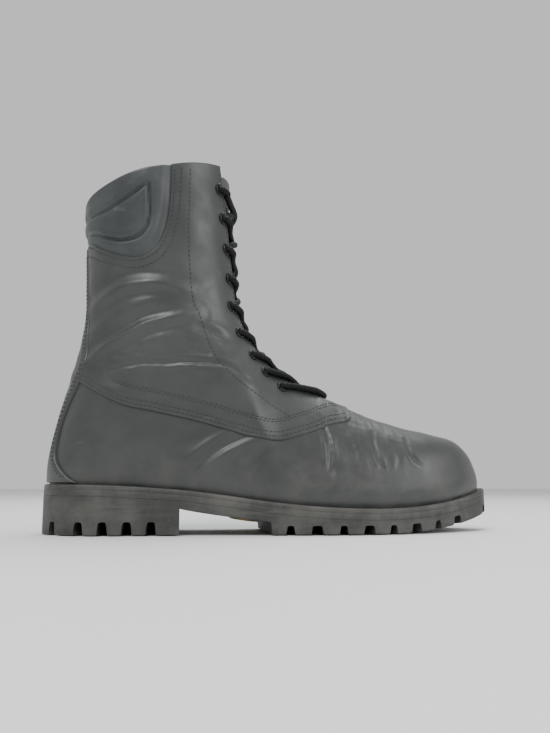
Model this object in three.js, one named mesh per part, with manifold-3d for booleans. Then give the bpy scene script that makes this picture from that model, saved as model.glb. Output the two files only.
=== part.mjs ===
// Combat boot, right foot, standing empty on its lugged sole.
// Millimetres, +X to the toe, +Y to the inner (medial) side, +Z up.
// The upper is worked out in two coordinates: x along the sole, and rise, the height above the welt.
import * as THREE from 'three';
import { mergeVertices } from 'three/addons/utils/BufferGeometryUtils.js';
import Module from 'manifold-3d';

const wasm = await Module();
wasm.setup();

// Driving sizes of the last and the sole
const soleLength = 303;
const ballWidth = 99;
const heelWidth = 74;
const shaftWidth = 92;
const shaftRise = 224.5;
const heelHeight = 31;
const ballHeight = 15.7;
const toeHeight = 28.5;
const toeSpring = 12.8;
const toeBend = 9;

// Leather and sole thicknesses
const wall = 2.4;
const quarterStep = 1.2;
const stayStep = 2;
const padSwell = 2.4;
const weltThickness = 3;
const weltMargin = 3.2;
const midsoleThickness = 3.5;
const insoleThickness = 3;
const tongueThickness = 3;
const fitGap = 0.3;
const tongueGap = 0.5;

// Tread
const treadDepth = 5.5;
const slotWidth = 5.4;
const slotReach = 25;
const pocketRadius = 7.2;
const shankStart = 87;
const shankEnd = 144;
const shankRiseHeel = 16;
const shankRiseBall = 7.5;
const ballFlatEnd = 217;
const heelSlotDepth = 9;
const plateLength = 34;
const plateWidth = 20;
const plateThickness = 1.4;
const plateRim = 0.6;

// Lacing
const eyeletCount = 9;
const eyeletPitch = 20.5;
const eyeletTopDistance = 18;
const eyeletRadius = 4;
const eyeletHole = 2.2;
const eyeletThickness = 0.9;
const eyeletLift = 0.75;
const eyeletBarrel = 1.4;
const laceDiameter = 4;
const laceEndGap = 2.3;
const laceLift = 1;
const throatLength = 201;

// Half width of the sole by place along it, as shares of half the ball width, and its bend
// as shares of the toe's bend. A plus bend goes to the inner side.
const soleRows = [
  { along: 0.0, half: 0.747, bend: 0.0 },
  { along: 0.2, half: 0.755, bend: -0.04 },
  { along: 0.29, half: 0.74, bend: -0.33 },
  { along: 0.37, half: 0.745, bend: -0.5 },
  { along: 0.47, half: 0.785, bend: -0.56 },
  { along: 0.555, half: 0.885, bend: -0.33 },
  { along: 0.62, half: 0.965, bend: -0.1 },
  { along: 0.67, half: 1.0, bend: 0.06 },
  { along: 0.75, half: 1.0, bend: 0.25 },
  { along: 0.82, half: 1.0, bend: 0.4 },
  { along: 0.9, half: 1.0, bend: 0.68 },
  { along: 1.0, half: 1.0, bend: 1.0 },
];

// Height of the welt's top face by place along the sole: a mix of the heel, ball and toe heights
const weltRows = [
  { along: 0.0, heel: 1.0, ball: 0.0, toe: 0.0 },
  { along: 0.15, heel: 0.955, ball: 0.03, toe: 0.0 },
  { along: 0.29, heel: 0.76, ball: 0.24, toe: 0.0 },
  { along: 0.37, heel: 0.57, ball: 0.43, toe: 0.0 },
  { along: 0.47, heel: 0.29, ball: 0.71, toe: 0.0 },
  { along: 0.57, heel: 0.09, ball: 0.91, toe: 0.0 },
  { along: 0.67, heel: 0.0, ball: 1.0, toe: 0.0 },
  { along: 0.77, heel: 0.0, ball: 0.96, toe: 0.04 },
  { along: 0.87, heel: 0.0, ball: 0.7, toe: 0.3 },
  { along: 0.95, heel: 0.0, ball: 0.3, toe: 0.7 },
  { along: 1.0, heel: 0.0, ball: 0.0, toe: 1.0 },
];

// Front outline of the closed upper, from the toe over the instep to the collar,
// as shares of the sole's length and of the shaft's rise
const frontRows = [
  { along: 0.982, rise: 0.0 },
  { along: 0.983, rise: 0.035 },
  { along: 0.976, rise: 0.072 },
  { along: 0.958, rise: 0.124 },
  { along: 0.921, rise: 0.174 },
  { along: 0.858, rise: 0.211 },
  { along: 0.77, rise: 0.25 },
  { along: 0.693, rise: 0.283 },
  { along: 0.62, rise: 0.323 },
  { along: 0.548, rise: 0.364 },
  { along: 0.491, rise: 0.41 },
  { along: 0.442, rise: 0.48 },
  { along: 0.414, rise: 0.567 },
  { along: 0.404, rise: 0.66 },
  { along: 0.4, rise: 0.8 },
  { along: 0.399, rise: 1.0 },
];

// Back outline of the upper, from the welt to the collar
const backRows = [
  { along: 0.011, rise: 0.0 },
  { along: 0.011, rise: 0.06 },
  { along: 0.023, rise: 0.15 },
  { along: 0.04, rise: 0.243 },
  { along: 0.063, rise: 0.355 },
  { along: 0.079, rise: 0.467 },
  { along: 0.08, rise: 0.578 },
  { along: 0.076, rise: 0.69 },
  { along: 0.07, rise: 0.835 },
];

// Half width of the shaft by rise, as shares of half the shaft's width
const shaftRows = [
  { rise: 0.2, half: 0.8 },
  { rise: 0.35, half: 0.815 },
  { rise: 0.5, half: 0.83 },
  { rise: 0.62, half: 0.855 },
  { rise: 0.76, half: 0.92 },
  { rise: 0.91, half: 0.985 },
  { rise: 1.0, half: 1.0 },
];

// Roundness: how far from the front outline the upper reaches its full width, measured along
// the sole by rise (share of the sole's length), and measured down by place along the sole
const noseRows = [
  { rise: 0.0, reach: 0.355 },
  { rise: 0.1, reach: 0.35 },
  { rise: 0.27, reach: 0.3 },
  { rise: 0.4, reach: 0.25 },
  { rise: 0.53, reach: 0.19 },
  { rise: 0.7, reach: 0.168 },
  { rise: 1.0, reach: 0.168 },
];
const crownRows = [
  { along: 0.4, reach: 0.0 },
  { along: 0.43, reach: 0.14 },
  { along: 0.49, reach: 0.38 },
  { along: 0.55, reach: 0.42 },
  { along: 0.62, reach: 0.4 },
  { along: 0.68, reach: 0.35 },
  { along: 0.77, reach: 0.26 },
  { along: 0.86, reach: 0.2 },
  { along: 1.0, reach: 0.18 },
];
const heelRound = 0.57;
const shaftFade = { from: 0.2, to: 0.5 };
const bendFade = { from: 0.18, to: 0.5 };
const featherTuck = 0.055;
const featherTuckRise = 12;

// Half gap of the throat and half width of the tongue, by share of the throat's length from
// the collar, as shares of half the shaft's width
const throatRows = [
  { down: -0.08, gap: 0.64 },
  { down: 0.0, gap: 0.61 },
  { down: 0.1, gap: 0.52 },
  { down: 0.2, gap: 0.43 },
  { down: 0.3, gap: 0.34 },
  { down: 0.4, gap: 0.27 },
  { down: 0.5, gap: 0.26 },
  { down: 0.7, gap: 0.24 },
  { down: 0.9, gap: 0.2 },
  { down: 0.97, gap: 0.14 },
  { down: 1.0, gap: 0.04 },
];
const tongueRows = [
  { down: 0.025, half: 0.26 },
  { down: 0.035, half: 0.37 },
  { down: 0.06, half: 0.46 },
  { down: 0.12, half: 0.53 },
  { down: 0.3, half: 0.57 },
  { down: 0.6, half: 0.58 },
  { down: 0.9, half: 0.54 },
  { down: 1.08, half: 0.5 },
];
const eyeletRows = [
  { row: 0, half: 0.63 },
  { row: 1, half: 0.55 },
  { row: 2, half: 0.46 },
  { row: 3, half: 0.4 },
  { row: 4, half: 0.43 },
  { row: 5, half: 0.44 },
  { row: 6, half: 0.44 },
  { row: 7, half: 0.43 },
  { row: 8, half: 0.4 },
];

// Lower edge of the quarter, from the back stay to the tab over the vamp
const quarterRows = [
  { along: 0.02, rise: 0.31 },
  { along: 0.066, rise: 0.292 },
  { along: 0.158, rise: 0.226 },
  { along: 0.24, rise: 0.208 },
  { along: 0.323, rise: 0.192 },
  { along: 0.406, rise: 0.176 },
  { along: 0.488, rise: 0.172 },
  { along: 0.56, rise: 0.206 },
  { along: 0.615, rise: 0.24 },
  { along: 0.65, rise: 0.252 },
  { along: 0.663, rise: 0.262 },
];

// Edge of the quarter against the collar pad, from the back up to the collar
const padRows = [
  { along: 0.06, rise: 0.722 },
  { along: 0.083, rise: 0.71 },
  { along: 0.115, rise: 0.672 },
  { along: 0.158, rise: 0.648 },
  { along: 0.196, rise: 0.646 },
  { along: 0.228, rise: 0.68 },
  { along: 0.2475, rise: 0.757 },
  { along: 0.254, rise: 0.855 },
  { along: 0.254, rise: 1.05 },
];

// Half width of the back stay by rise, as shares of half the heel's width
const stayRows = [
  { rise: 0.004, half: 0.76 },
  { rise: 0.04, half: 0.6 },
  { rise: 0.08, half: 0.44 },
  { rise: 0.15, half: 0.37 },
  { rise: 0.22, half: 0.42 },
  { rise: 0.29, half: 0.52 },
  { rise: 0.335, half: 0.58 },
  { rise: 0.4, half: 0.5 },
  { rise: 0.5, half: 0.36 },
  { rise: 0.6, half: 0.24 },
];

// Fineness of the meshes
const outerAround = 16;
const outerLevels = 22;
const innerAround = 12;
const innerLevels = 16;
const soleSteps = 36;
const laceSteps = 5;

const boot = new THREE.Group();

// Value of a table's column at a place, on smooth curves through its rows
function smooth(rows, place, column, at) {
  const last = rows.length - 1;
  if (at <= rows[0][place]) {
    return rows[0][column];
  }
  if (at >= rows[last][place]) {
    return rows[last][column];
  }
  let k = 0;
  while (at > rows[k + 1][place]) {
    k += 1;
  }
  const slope = (i) => {
    const a = rows[Math.max(i - 1, 0)];
    const b = rows[Math.min(i + 1, last)];
    return (b[column] - a[column]) / (b[place] - a[place]);
  };
  const span = rows[k + 1][place] - rows[k][place];
  const t = (at - rows[k][place]) / span;
  const t2 = t * t;
  const t3 = t2 * t;
  return (2 * t3 - 3 * t2 + 1) * rows[k][column] + (t3 - 2 * t2 + t) * span * slope(k)
    + (3 * t2 - 2 * t3) * rows[k + 1][column] + (t3 - t2) * span * slope(k + 1);
}

function fade(value, from, to) {
  return THREE.MathUtils.smoothstep(value, from, to);
}

// Share of the full width at a share of the way in from an edge: a quarter of a superellipse
function round(share, power = 1.9) {
  const rest = 1 - Math.min(Math.max(share, 0), 1);
  return Math.pow(1 - Math.pow(rest, power), 1 / power);
}

const shareAlong = (x) => x / soleLength;

function weltTop(x) {
  const at = shareAlong(x);
  return heelHeight * smooth(weltRows, 'along', 'heel', at)
    + ballHeight * smooth(weltRows, 'along', 'ball', at)
    + toeHeight * smooth(weltRows, 'along', 'toe', at);
}

function bend(x) {
  return toeBend * smooth(soleRows, 'along', 'bend', shareAlong(x));
}

// Half width of the sole at x, with its round toe and heel, drawn in by an inset
function soleHalf(x, inset) {
  const full = ballWidth / 2 * smooth(soleRows, 'along', 'half', shareAlong(x));
  const toe = round((soleLength - inset - x) / (0.37 * soleLength), 1.8);
  const heel = round((x - inset) / (0.6 * heelWidth), 2);
  return Math.max((full - inset) * toe * heel, 0);
}

// A solid from level lines, bottom first. Each level is a row of stations along the boot with a
// place x, a height z and the two sides near (-Y) and far (+Y); ends may be points or flat.
function solidFromLevels(levels) {
  const vertices = [];
  const triangles = [];
  const near = [];
  const far = [];
  for (const level of levels) {
    const nearRow = [];
    const farRow = [];
    for (const station of level) {
      nearRow.push(vertices.length / 3);
      vertices.push(station.x, station.near, station.z);
      if (station.far - station.near > 1e-6) {
        farRow.push(vertices.length / 3);
        vertices.push(station.xFar ?? station.x, station.far, station.z);
      } else {
        farRow.push(nearRow[nearRow.length - 1]);
      }
    }
    near.push(nearRow);
    far.push(farRow);
  }
  const face = (a, b, c) => {
    if (a !== b && b !== c && c !== a) {
      triangles.push(a, b, c);
    }
  };
  const quad = (a, b, c, d) => {
    face(a, b, c);
    face(a, c, d);
  };
  const top = levels.length - 1;
  const end = levels[0].length - 1;
  for (let k = 0; k < top; k += 1) {
    for (let i = 0; i < end; i += 1) {
      quad(near[k][i], near[k][i + 1], near[k + 1][i + 1], near[k + 1][i]);
      quad(far[k][i + 1], far[k][i], far[k + 1][i], far[k + 1][i + 1]);
    }
    quad(far[k][0], near[k][0], near[k + 1][0], far[k + 1][0]);
    quad(near[k][end], far[k][end], far[k + 1][end], near[k + 1][end]);
  }
  for (let i = 0; i < end; i += 1) {
    quad(near[0][i], far[0][i], far[0][i + 1], near[0][i + 1]);
    quad(near[top][i + 1], far[top][i + 1], far[top][i], near[top][i]);
  }
  return solid(vertices, triangles);
}

function solid(vertices, triangles) {
  return new wasm.Manifold(new wasm.Mesh({
    numProp: 3,
    vertProperties: new Float32Array(vertices),
    triVerts: new Uint32Array(triangles),
  }));
}

function solidFromGeometry(geometry) {
  const bare = geometry.clone();
  bare.deleteAttribute('normal');
  bare.deleteAttribute('uv');
  const merged = mergeVertices(bare, 1e-4);
  return solid(merged.attributes.position.array, merged.index.array);
}

function geometryFromSolid(body) {
  const mesh = body.getMesh();
  const geometry = new THREE.BufferGeometry();
  geometry.setAttribute('position', new THREE.BufferAttribute(mesh.vertProperties, 3));
  geometry.setIndex(new THREE.BufferAttribute(mesh.triVerts, 1));
  geometry.computeVertexNormals();
  return geometry;
}

function joined(bodies) {
  return bodies.reduce((sum, body) => sum.add(body));
}

// An upright prism over a plan outline, between two heights
function planPrism(points, low, high) {
  const outline = new THREE.Shape(points.map(([x, y]) => new THREE.Vector2(x, y)));
  const geometry = new THREE.ExtrudeGeometry(outline, { depth: high - low, bevelEnabled: false });
  geometry.translate(0, 0, low);
  return solidFromGeometry(geometry);
}

// A prism through the whole boot from side to side, over an outline seen from the side
function sidePrism(points) {
  const outline = new THREE.Shape(points.map(([x, z]) => new THREE.Vector2(x, z)));
  const geometry = new THREE.ExtrudeGeometry(outline, { depth: shaftWidth * 2, bevelEnabled: false });
  geometry.rotateX(Math.PI / 2);
  geometry.translate(0, shaftWidth, 0);
  return solidFromGeometry(geometry);
}

// The front and back outlines of the upper, moved outward by an offset
function outlineOf(rows, offset, side) {
  const points = rows.map((row) => new THREE.Vector3(row.along * soleLength, row.rise * shaftRise, 0));
  const curve = new THREE.CatmullRomCurve3(points, false, 'catmullrom', 0.5);
  const at = (share) => {
    const held = Math.min(Math.max(share, 0), 1);
    const point = curve.getPointAt(held);
    const tangent = curve.getTangentAt(held);
    const beyond = (share - held) * curve.getLength();
    return {
      x: point.x + tangent.y * offset * side,
      rise: point.y - tangent.x * offset * side + beyond,
    };
  };
  return { at, length: curve.getLength() };
}

// The upper's outer surface, grown by an offset (a minus offset is inside the leather)
function lastForm(offset) {
  const front = outlineOf(frontRows, offset, 1);
  const back = outlineOf(backRows, offset, -1);
  const samples = [];
  for (let i = 0; i <= 240; i += 1) {
    samples.push(front.at(i / 240));
  }
  const noseAt = (rise) => {
    if (rise <= samples[0].rise) {
      return samples[0].x;
    }
    for (let i = samples.length - 1; i > 0; i -= 1) {
      if (samples[i - 1].rise <= rise && rise <= samples[i].rise) {
        const span = samples[i].rise - samples[i - 1].rise;
        const t = span > 0 ? (rise - samples[i - 1].rise) / span : 0;
        return samples[i - 1].x + t * (samples[i].x - samples[i - 1].x);
      }
    }
    return samples[samples.length - 1].x;
  };
  const crownAt = (x) => {
    for (let i = samples.length - 1; i > 0; i -= 1) {
      if (samples[i].x <= x && x <= samples[i - 1].x) {
        const t = (x - samples[i].x) / Math.max(samples[i - 1].x - samples[i].x, 1e-9);
        return samples[i].rise + t * (samples[i - 1].rise - samples[i].rise);
      }
    }
    return Infinity;
  };
  const halfAt = (x, rise, backX) => {
    const along = shareAlong(x);
    const up = rise / shaftRise;
    const foot = ballWidth / 2 * smooth(soleRows, 'along', 'half', along) - weltMargin;
    const shaft = shaftWidth / 2 * smooth(shaftRows, 'rise', 'half', up);
    const full = THREE.MathUtils.lerp(foot, shaft, fade(up, shaftFade.from, shaftFade.to)) + offset;
    const nose = smooth(noseRows, 'rise', 'reach', up) * soleLength + offset;
    const crown = smooth(crownRows, 'along', 'reach', along) * shaftRise + offset;
    const ahead = Math.max(noseAt(rise) - x, 1e-6);
    const above = Math.max(crownAt(x) - rise, 1e-6);
    const inFront = 1 / Math.hypot(nose / ahead, crown / above);
    const behind = (x - backX) / (heelRound * heelWidth + offset);
    const low = 1 - Math.min(Math.max(rise, 0) / featherTuckRise, 1);
    const tuck = 1 - featherTuck * low * low;
    const pad = fade(up, 0.6, 0.67) * (1 - fade(along, 0.2, 0.25));
    return (full * tuck + padSwell * pad) * round(inFront) * round(behind, 2);
  };
  const centreAt = (x, rise) => bend(x) * (1 - fade(rise / shaftRise, bendFade.from, bendFade.to));
  const station = (start, end, share) => {
    const x = THREE.MathUtils.lerp(start.x, end.x, share);
    const rise = THREE.MathUtils.lerp(start.rise, end.rise, share);
    const tip = share === 0 || share === 1;
    const half = tip ? 0 : halfAt(x, rise, start.x);
    const middle = centreAt(x, rise);
    return { x, z: weltTop(x) + rise, near: middle - half, far: middle + half };
  };
  // One level line round the boot, at a share of both outlines' lengths
  const level = (share, steps) => {
    const start = back.at(share);
    const end = front.at(share);
    const row = [];
    for (let i = 0; i <= steps; i += 1) {
      row.push(station(start, end, (1 - Math.cos(Math.PI * i / steps)) / 2));
    }
    return row;
  };
  // The lowest level line, moved up or down
  const footLevel = (lift, steps) => level(0, steps).map((spot) => ({ ...spot, z: spot.z + lift }));
  // The point on the front half of a level line that lies at a distance y from the middle
  const facingPoint = (share, y) => {
    const start = back.at(share);
    const end = front.at(share);
    let low = 0.45;
    let high = 1;
    for (let i = 0; i < 40; i += 1) {
      const mid = (low + high) / 2;
      const half = station(start, end, mid).far - centreAt(
        THREE.MathUtils.lerp(start.x, end.x, mid),
        THREE.MathUtils.lerp(start.rise, end.rise, mid),
      );
      if (half > Math.abs(y)) {
        low = mid;
      } else {
        high = mid;
      }
    }
    const found = station(start, end, low);
    const middle = (found.near + found.far) / 2;
    return new THREE.Vector3(found.x, middle + y, found.z);
  };
  return { front, back, level, footLevel, facingPoint, centreAt };
}

// A filled body of the upper's form, which starts inside the welt; below and above it may run on
// past the leather's edges
function lastSolid(offset, levels, around, below, above) {
  const form = lastForm(offset);
  const rows = [form.footLevel(-weltThickness - below, around)];
  for (let i = 0; i <= levels; i += 1) {
    rows.push(form.level(i / levels, around));
  }
  if (above > 0) {
    rows.push(form.level(1, around).map((station) => ({ ...station, z: station.z + above })));
  }
  return solidFromLevels(rows);
}

// A body that follows the front outline of the closed upper: a strip of changing half width,
// reaching outside and inside the outline
function frontStrip(rows, column, outside, inside) {
  const form = lastForm(0);
  const sections = rows.map((row) => {
    const share = 1 - row.down * throatLength / form.front.length;
    const middle = form.front.at(share);
    const ahead = form.front.at(share + 0.004);
    const behind = form.front.at(share - 0.004);
    const tangent = new THREE.Vector2(ahead.x - behind.x, ahead.rise - behind.rise).normalize();
    const half = row[column] * shaftWidth / 2;
    const centre = form.centreAt(middle.x, middle.rise);
    const point = (reach, y) => {
      const x = middle.x + tangent.y * reach;
      return [x, centre + y, middle.rise - tangent.x * reach + weltTop(middle.x)];
    };
    return [point(-inside, -half), point(outside, -half), point(outside, half), point(-inside, half)];
  });
  const vertices = sections.flat(2);
  const triangles = [];
  for (let k = 0; k + 1 < sections.length; k += 1) {
    for (let i = 0; i < 4; i += 1) {
      const a = 4 * k + i;
      const b = 4 * k + (i + 1) % 4;
      triangles.push(a, a + 4, b + 4, a, b + 4, b);
    }
  }
  const last = vertices.length / 3 - 4;
  triangles.push(0, 1, 2, 0, 2, 3, last, last + 2, last + 1, last, last + 3, last + 2);
  return solid(vertices, triangles);
}

// Rows of a strip at even steps, read off a table's smooth curve
function evenRows(rows, column, steps) {
  const first = rows[0].down;
  const last = rows[rows.length - 1].down;
  return Array.from({ length: steps + 1 }, (_, i) => {
    const down = first + (last - first) * i / steps;
    return { down, [column]: smooth(rows, 'down', column, down) };
  });
}

function add(name, body, finish) {
  const mesh = new THREE.Mesh(geometryFromSolid(body), new THREE.MeshStandardMaterial(finish));
  mesh.name = name;
  boot.add(mesh);
}

const leather = { color: 0x24272a, roughness: 0.46, metalness: 0 };
const rubber = { color: 0x1c1c1c, roughness: 0.8, metalness: 0 };
const edgeRubber = { color: 0x2b2927, roughness: 0.75, metalness: 0 };
const weltLeather = { color: 0x2a2725, roughness: 0.65, metalness: 0 };
const lining = { color: 0x3a3632, roughness: 0.8, metalness: 0 };
const enamel = { color: 0x1a1a1b, roughness: 0.3, metalness: 0.7 };
const cordWeave = { color: 0x141415, roughness: 0.85, metalness: 0 };
const ochre = { color: 0xa8803a, roughness: 0.55, metalness: 0 };

// Heights of the layers, counted down from the welt's top face
const midsoleTop = (x) => weltTop(x) - weltThickness - fitGap;
const outsoleTop = (x) => midsoleTop(x) - midsoleThickness - fitGap;

// Lowest face of the outsole: over the heel block, up the bare waist, and down to the tread
function treadFace(x) {
  const run = Math.max(x - ballFlatEnd, 0) / (soleLength - ballFlatEnd);
  return toeSpring * run * run;
}

function outsoleBottom(x) {
  if (x <= shankStart) {
    return shankRiseHeel;
  }
  if (x >= shankEnd) {
    return treadFace(x);
  }
  const share = (x - shankStart) / (shankEnd - shankStart);
  return THREE.MathUtils.lerp(shankRiseHeel, shankRiseBall, Math.pow(share, 0.8));
}

// Stations along the sole, closer together at the round ends
function solePlaces(from, to, steps) {
  return Array.from({ length: steps + 1 }, (_, i) => {
    return from + (to - from) * (1 - Math.cos(Math.PI * i / steps)) / 2;
  });
}

function soleLevel(places, inset, height) {
  return places.map((x) => {
    const half = soleHalf(x, inset);
    return { x, z: height(x), near: bend(x) - half, far: bend(x) + half };
  });
}

// A slot cut in from the sole's edge, square to the edge, wider outside than inside
function edgeSlot(x, side, reach, depth, floor) {
  const edge = (place) => new THREE.Vector2(place, bend(place) + side * soleHalf(place, 0));
  const a = edge(Math.max(x - 2, 0.4));
  const b = edge(Math.min(x + 2, soleLength - 0.4));
  const run = b.clone().sub(a).normalize();
  const inward = new THREE.Vector2(run.y, -run.x).multiplyScalar(side);
  const middle = edge(x);
  const corner = (along, deep) => {
    return [middle.x + run.x * along + inward.x * deep, middle.y + run.y * along + inward.y * deep];
  };
  const wide = slotWidth / 2;
  const slim = slotWidth / 3.4;
  const points = [corner(-wide, -6), corner(wide, -6), corner(slim, reach - slim)];
  points.push(corner(0, reach), corner(-slim, reach - slim));
  const outline = side > 0 ? points.reverse() : points;
  return planPrism(outline, -2, floor + depth);
}

// A six-pointed pocket between the ribs of the tread
function pocket(x, y, depth, floor, turn) {
  const points = [];
  for (let i = 0; i < 12; i += 1) {
    const radius = i % 2 === 0 ? pocketRadius : pocketRadius * 0.66;
    const angle = Math.PI * i / 6 + turn;
    points.push([x + radius * Math.cos(angle), y + radius * Math.sin(angle)]);
  }
  return planPrism(points, -2, floor + depth);
}

function makeOutsole() {
  const rear = solePlaces(0, 40, 12).filter((x) => x < 30);
  const waist = [30, 45, 60, 75, shankStart, shankStart + 0.4, 95, 103, 111, 119, 127, 136];
  const step = [shankEnd - 0.4, shankEnd];
  const ball = [155, 168, 181, 194, 207, ballFlatEnd];
  const toe = solePlaces(ballFlatEnd - 50, soleLength, 22).filter((x) => x > ballFlatEnd + 4);
  const places = [...rear, ...waist, ...step, ...ball, ...toe];
  const body = solidFromLevels([
    soleLevel(places, 0, outsoleBottom),
    soleLevel(places, 0, (x) => outsoleTop(x)),
  ]);
  const cuts = [];
  for (let x = 155; x < 278; x += 16.4) {
    cuts.push(edgeSlot(x, -1, slotReach, treadDepth, treadFace(x)));
  }
  for (let x = 163; x < 286; x += 15.5) {
    cuts.push(edgeSlot(x, 1, slotReach, treadDepth, treadFace(x)));
  }
  for (let k = 0; k < 10; k += 1) {
    const x = 160 + 11.4 * k;
    const y = bend(x) + (k % 2 === 0 ? -6.5 : 6.5);
    cuts.push(pocket(x, y, treadDepth, treadFace(x), 0.3 * k));
  }
  cuts.push(edgeSlot(soleLength - 6, 1, 14, treadDepth, treadFace(soleLength)));
  cuts.push(edgeSlot(soleLength - 5, -1, 14, treadDepth, treadFace(soleLength)));
  return body.subtract(joined(cuts));
}

function makeHeelBlock() {
  const rear = solePlaces(0, 60, 18).filter((x) => x < 32);
  const places = [...rear, 42, 56, 70, shankStart];
  const top = shankRiseHeel - fitGap;
  const body = solidFromLevels([
    soleLevel(places, 0, () => 0),
    soleLevel(places, 0, () => top),
  ]);
  const cuts = [];
  for (const side of [-1, 1]) {
    for (let x = 26; x < shankStart - 8; x += 14.6) {
      cuts.push(edgeSlot(x, side, slotReach * 0.86, heelSlotDepth, 0));
    }
    cuts.push(edgeSlot(9, side, slotReach * 0.7, heelSlotDepth, 0));
  }
  for (let k = 0; k < 3; k += 1) {
    cuts.push(pocket(34 + 19 * k, bend(34), treadDepth, 0, 0.26));
  }
  return body.subtract(joined(cuts));
}

function makeMidsole() {
  const places = solePlaces(0.3, soleLength - 0.3, soleSteps);
  return solidFromLevels([
    soleLevel(places, 0.3, (x) => midsoleTop(x) - midsoleThickness),
    soleLevel(places, 0.3, midsoleTop),
  ]);
}

function makeWelt() {
  const places = solePlaces(0.8, soleLength - 0.8, soleSteps);
  const plate = solidFromLevels([
    soleLevel(places, 0.8, (x) => weltTop(x) - weltThickness),
    soleLevel(places, 0.8, weltTop),
  ]);
  const form = lastForm(fitGap);
  const plug = solidFromLevels([
    form.footLevel(-2 * weltThickness, outerAround),
    form.footLevel(weltThickness, outerAround),
  ]);
  return plate.subtract(plug);
}

function makeInsole() {
  const form = lastForm(-wall - fitGap);
  return solidFromLevels([
    form.footLevel(-weltThickness, innerAround),
    form.footLevel(insoleThickness - weltThickness, innerAround),
  ]);
}

const sidePoint = (row) => {
  const x = row.along * soleLength;
  return [x, row.rise * shaftRise + weltTop(x)];
};

// The quarter lies over the vamp and stops at the collar pad
function quarterRegion() {
  const lower = quarterRows.map(sidePoint);
  const pad = padRows.map(sidePoint);
  const high = shaftRise + heelHeight + 40;
  const tab = lower[lower.length - 1];
  const behind = -20;
  return [[behind, lower[0][1]], ...lower, [tab[0], high], [pad[pad.length - 1][0], high],
    ...pad.reverse(), [behind, pad[pad.length - 1][1]]];
}

function stayRegion() {
  const right = stayRows.map((row) => {
    return new THREE.Vector2(row.half * heelWidth / 2, row.rise * shaftRise + heelHeight);
  });
  const left = right.map((point) => new THREE.Vector2(-point.x, point.y)).reverse();
  const geometry = new THREE.ExtrudeGeometry(new THREE.Shape([...right, ...left]), {
    depth: heelWidth / 2 + 30,
    bevelEnabled: false,
  });
  geometry.rotateX(Math.PI / 2);
  geometry.rotateZ(Math.PI / 2);
  geometry.translate(-30, 0, 0);
  return solidFromGeometry(geometry);
}

// Places of the eyelets on the facings: the point on the leather and the way out of it
function eyeletPlaces() {
  const form = lastForm(quarterStep);
  const places = [];
  for (let row = 0; row < eyeletCount; row += 1) {
    const share = 1 - (eyeletTopDistance + row * eyeletPitch) / form.front.length;
    const half = smooth(eyeletRows, 'row', 'half', row) * shaftWidth / 2;
    for (const side of [-1, 1]) {
      const point = form.facingPoint(share, side * half);
      const along = form.facingPoint(share + 0.01, side * half).sub(point);
      const across = form.facingPoint(share, side * (half + 2)).sub(point);
      const out = along.cross(across).normalize();
      if (out.x < 0) {
        out.negate();
      }
      places.push({ row, side, point, out });
    }
  }
  return places;
}

function turned(geometry, place) {
  const turn = new THREE.Quaternion().setFromUnitVectors(new THREE.Vector3(0, 0, 1), place.out);
  geometry.applyQuaternion(turn);
  geometry.translate(place.point.x, place.point.y, place.point.z);
  return solidFromGeometry(geometry);
}

// The hole through the facing for an eyelet's barrel, with a seat under its flange
function eyeletDrill() {
  const hole = eyeletHole + 2 * fitGap;
  const seat = eyeletRadius + 2 * fitGap;
  const floor = eyeletLift - fitGap;
  const profile = [
    new THREE.Vector2(0, -2 * wall),
    new THREE.Vector2(hole, -2 * wall),
    new THREE.Vector2(hole, floor),
    new THREE.Vector2(seat, floor),
    new THREE.Vector2(seat, floor + 2 * wall),
    new THREE.Vector2(0, floor + 2 * wall),
  ];
  const drill = new THREE.LatheGeometry(profile, 8);
  drill.rotateX(Math.PI / 2);
  return drill;
}

function makeUpper(eyelets) {
  const outer = lastSolid(0, outerLevels, outerAround, 0, 0);
  const raised = lastSolid(quarterStep, outerLevels, outerAround, 0, 0);
  const stayForm = lastSolid(stayStep, outerLevels, outerAround, 0, 0);
  const quarter = raised.intersect(sidePrism(quarterRegion()));
  const stay = stayForm.intersect(stayRegion());
  const inner = lastSolid(-wall, innerLevels, innerAround, 10, 12);
  const throat = frontStrip(evenRows(throatRows, 'gap', 22), 'gap', 14, 20);
  const holes = eyelets.map((place) => turned(eyeletDrill(), place));
  const leatherBody = joined([outer, quarter, stay]);
  return leatherBody.subtract(inner).subtract(throat).subtract(joined(holes));
}

function makeTongue() {
  const outside = -wall - tongueGap;
  const outer = lastSolid(outside, innerLevels, innerAround, 0, 0);
  const inner = lastSolid(outside - tongueThickness, innerLevels, innerAround, 10, 12);
  const strip = frontStrip(tongueRows, 'half', 10, 32);
  return outer.intersect(strip).subtract(inner);
}

// An eyelet: a flange on the leather and a short barrel down its hole
function makeEyelet(place) {
  const profile = [
    new THREE.Vector2(eyeletHole - 0.5, -eyeletBarrel),
    new THREE.Vector2(eyeletHole + 0.2, -eyeletBarrel),
    new THREE.Vector2(eyeletHole + 0.2, eyeletLift),
    new THREE.Vector2(eyeletRadius, eyeletLift),
    new THREE.Vector2(eyeletRadius - 0.5, eyeletThickness + eyeletLift),
    new THREE.Vector2(eyeletHole - 0.5, eyeletThickness + eyeletLift),
    new THREE.Vector2(eyeletHole - 0.5, -eyeletBarrel),
  ];
  const ring = new THREE.LatheGeometry(profile, 8);
  ring.rotateX(Math.PI / 2);
  return turned(ring, place);
}

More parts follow.
